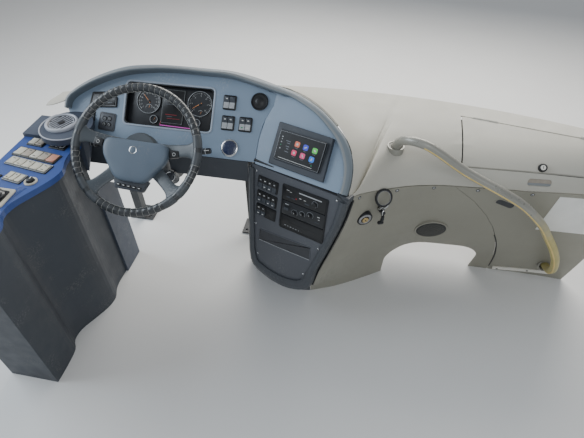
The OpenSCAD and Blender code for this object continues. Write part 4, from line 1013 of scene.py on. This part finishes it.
# Instrument hood: its inner and outer edge on the panel, share of the full height, and lift off the panel
HOOD_A = [(-387, -40, -408, -40, 0.7, 0), (-372, 2, -395, 12, 0.8, 0), (-287, 58, -302, 80, 0.95, 0),
          (-177, 103, -184, 130, 1, 0), (-80, 121, -82, 147, 1, 0), (7, 128, 10, 151.6, 1, 0),
          (129, 127.6, 132, 151.6, 1, 0), (214, 126, 222, 151, 0.95, 0.7), (292, 112, 302, 139, 0.8, 1.7)]
HOOD_B = [(-163, 156, -158, 181, 0.55, 6), (-122, 158, -117, 180, 0.48, 1.5), (-79, 153, -71, 174, 0.44, 0),
          (-18, 139, -13, 161, 0.4, 0), (29, 121, 36, 143.5, 0.37, 0), (71, 99, 82, 120.5, 0.35, 0),
          (103, 79, 121, 98, 0.33, 0), (131, 53, 152, 71, 0.31, 0), (152, 28, 174, 43, 0.3, 0),
          (168, 1, 191, 13, 0.29, 0), (179, -27, 201, -17, 0.28, 0), (186, -55, 208, -48, 0.28, 0),
          (189, -83, 213, -81, 0.28, 0)]
# Its section: share of the width from the inner edge, and height in millimetres
HOOD_SHAPE = [(0, 0.6), (0, 20), (0, 36), (0.03, 40), (0.09, 43), (0.18, 44.5), (0.3, 45), (0.45, 42.75),
              (0.6, 38.25), (0.76, 30.6), (0.9, 22.5), (1, 9.9), (1, -17.5)]
HOOD_WALL = 4.2
# The steps with the lip's finish carry a painted highlight along the hood's crest
HIGHLIGHT_FACES = 5, 6  # the steps of the section that have the lip's finish


def make_hood():
    inner, outer, out, high = [], [], [], []
    for place, table in ((DRV, HOOD_A), (UP, HOOD_B)):
        n = (place.to_3x3() @ Vector((0, 0, 1))).normalized()
        for a, b, c, d, share, lift in table:
            inner.append(place @ Vector((a, b, lift)))
            outer.append(place @ Vector((c, d, lift)))
            out.append(n)
            high.append(Vector((share, 0, 0)))
    loops = []
    for p, q, n, h in zip(*(catmull(row, 8) for row in (inner, outer, out, high))):
        e, w, n = (q - p).normalized(), (q - p).length, n.normalized()
        line = [p + e * (s * w) + n * (z * MM * (h.x if z > 1 else 1)) for s, z in HOOD_SHAPE]
        inside = []
        for j, v in enumerate(line):
            t = line[min(j + 1, len(line) - 1)] - line[max(j - 1, 0)]
            t = Vector((t.dot(e), t.dot(n), 0)).normalized()
            inside.append(v + (e * t.y - n * t.x) * HOOD_WALL * MM)
        loops.append(line + inside[::-1])
    verts, faces = rings(loops)
    # The crest faces take the painted highlight, the other faces the hood's grey
    crest_highlight_faces = [f for k, f in enumerate(faces[:-2]) if k % len(loops[0]) in HIGHLIGHT_FACES]
    p = Piece("hood_shell")
    p.add((verts, [f for f in faces if f not in crest_highlight_faces]), METRES, HOOD)
    p.add((verts, crest_highlight_faces), METRES, LIP_AND_HIGHLIGHT)
    p.make("dark_trim", "hood", sharp=40)


make_wheel()
make_hood()
make_cluster()
make_panel_fittings()
make_radio()
make_pod_fittings()
make_trim()
make_backing()
make_console()
make_corner()
skin("cowl", "cowl_skin")
skin("lid", "lid_skin", "lid")
make_stalks()

# Camera, light and floor
PHOTO_WIDTH, FOCAL = 584, 460  # pixels
SENSOR = 36
camera = new_object("camera", bpy.data.cameras.new("camera"))
camera.data.sensor_fit = "HORIZONTAL"
camera.data.sensor_width = SENSOR
camera.data.lens = SENSOR * FOCAL / PHOTO_WIDTH
camera.data.clip_start = 0.02
camera.location = (0.13, -1.18, 1.68)
camera.rotation_euler = (radians(90 - 44.4), 0, radians(10.8))
scene.camera = camera


def area_light(name, place, aim, size, power, colour):
    lamp = bpy.data.lights.new(name, "AREA")
    lamp.shape = "RECTANGLE"
    lamp.size, lamp.size_y = size
    lamp.energy = power
    lamp.color = colour
    obj = new_object(name, lamp)
    obj.location = place
    obj.rotation_euler = (Vector(aim) - Vector(place)).to_track_quat("-Z", "Y").to_euler()


area_light("windscreen", (0.3, 2.4, 2.2), (0, 0.1, 0.6), (3.6, 1.6), 126, (1, 0.97, 0.91))
area_light("side_window", (-2.6, -0.2, 2), (-0.3, 0, 0.6), (2, 1.6), 56, (0.82, 0.91, 1))
area_light("cab_fill", (0.9, -2.4, 2.6), (0.1, 0, 0.5), (2.4, 2), 26, (0.93, 0.97, 1))
world = bpy.data.worlds.new("studio")
world.use_nodes = True
sky = world.node_tree.nodes["Background"].inputs
sky["Color"].default_value = (0.86, 0.9, 0.95, 1)
sky["Strength"].default_value = 0.42
scene.world = world

floor_mesh = bpy.data.meshes.new("floor")
floor_mesh.from_pydata([(-6, -6, 0), (6, -6, 0), (6, 6, 0), (-6, 6, 0)], [], [[0, 1, 2, 3]])
floor_mesh.materials.append(finish("floor", (0.78, 0.78, 0.77), 0.7, tone=0.02, patch=1.5, grain=60,
                                   bump=0.05))
floor = new_object("floor", floor_mesh)
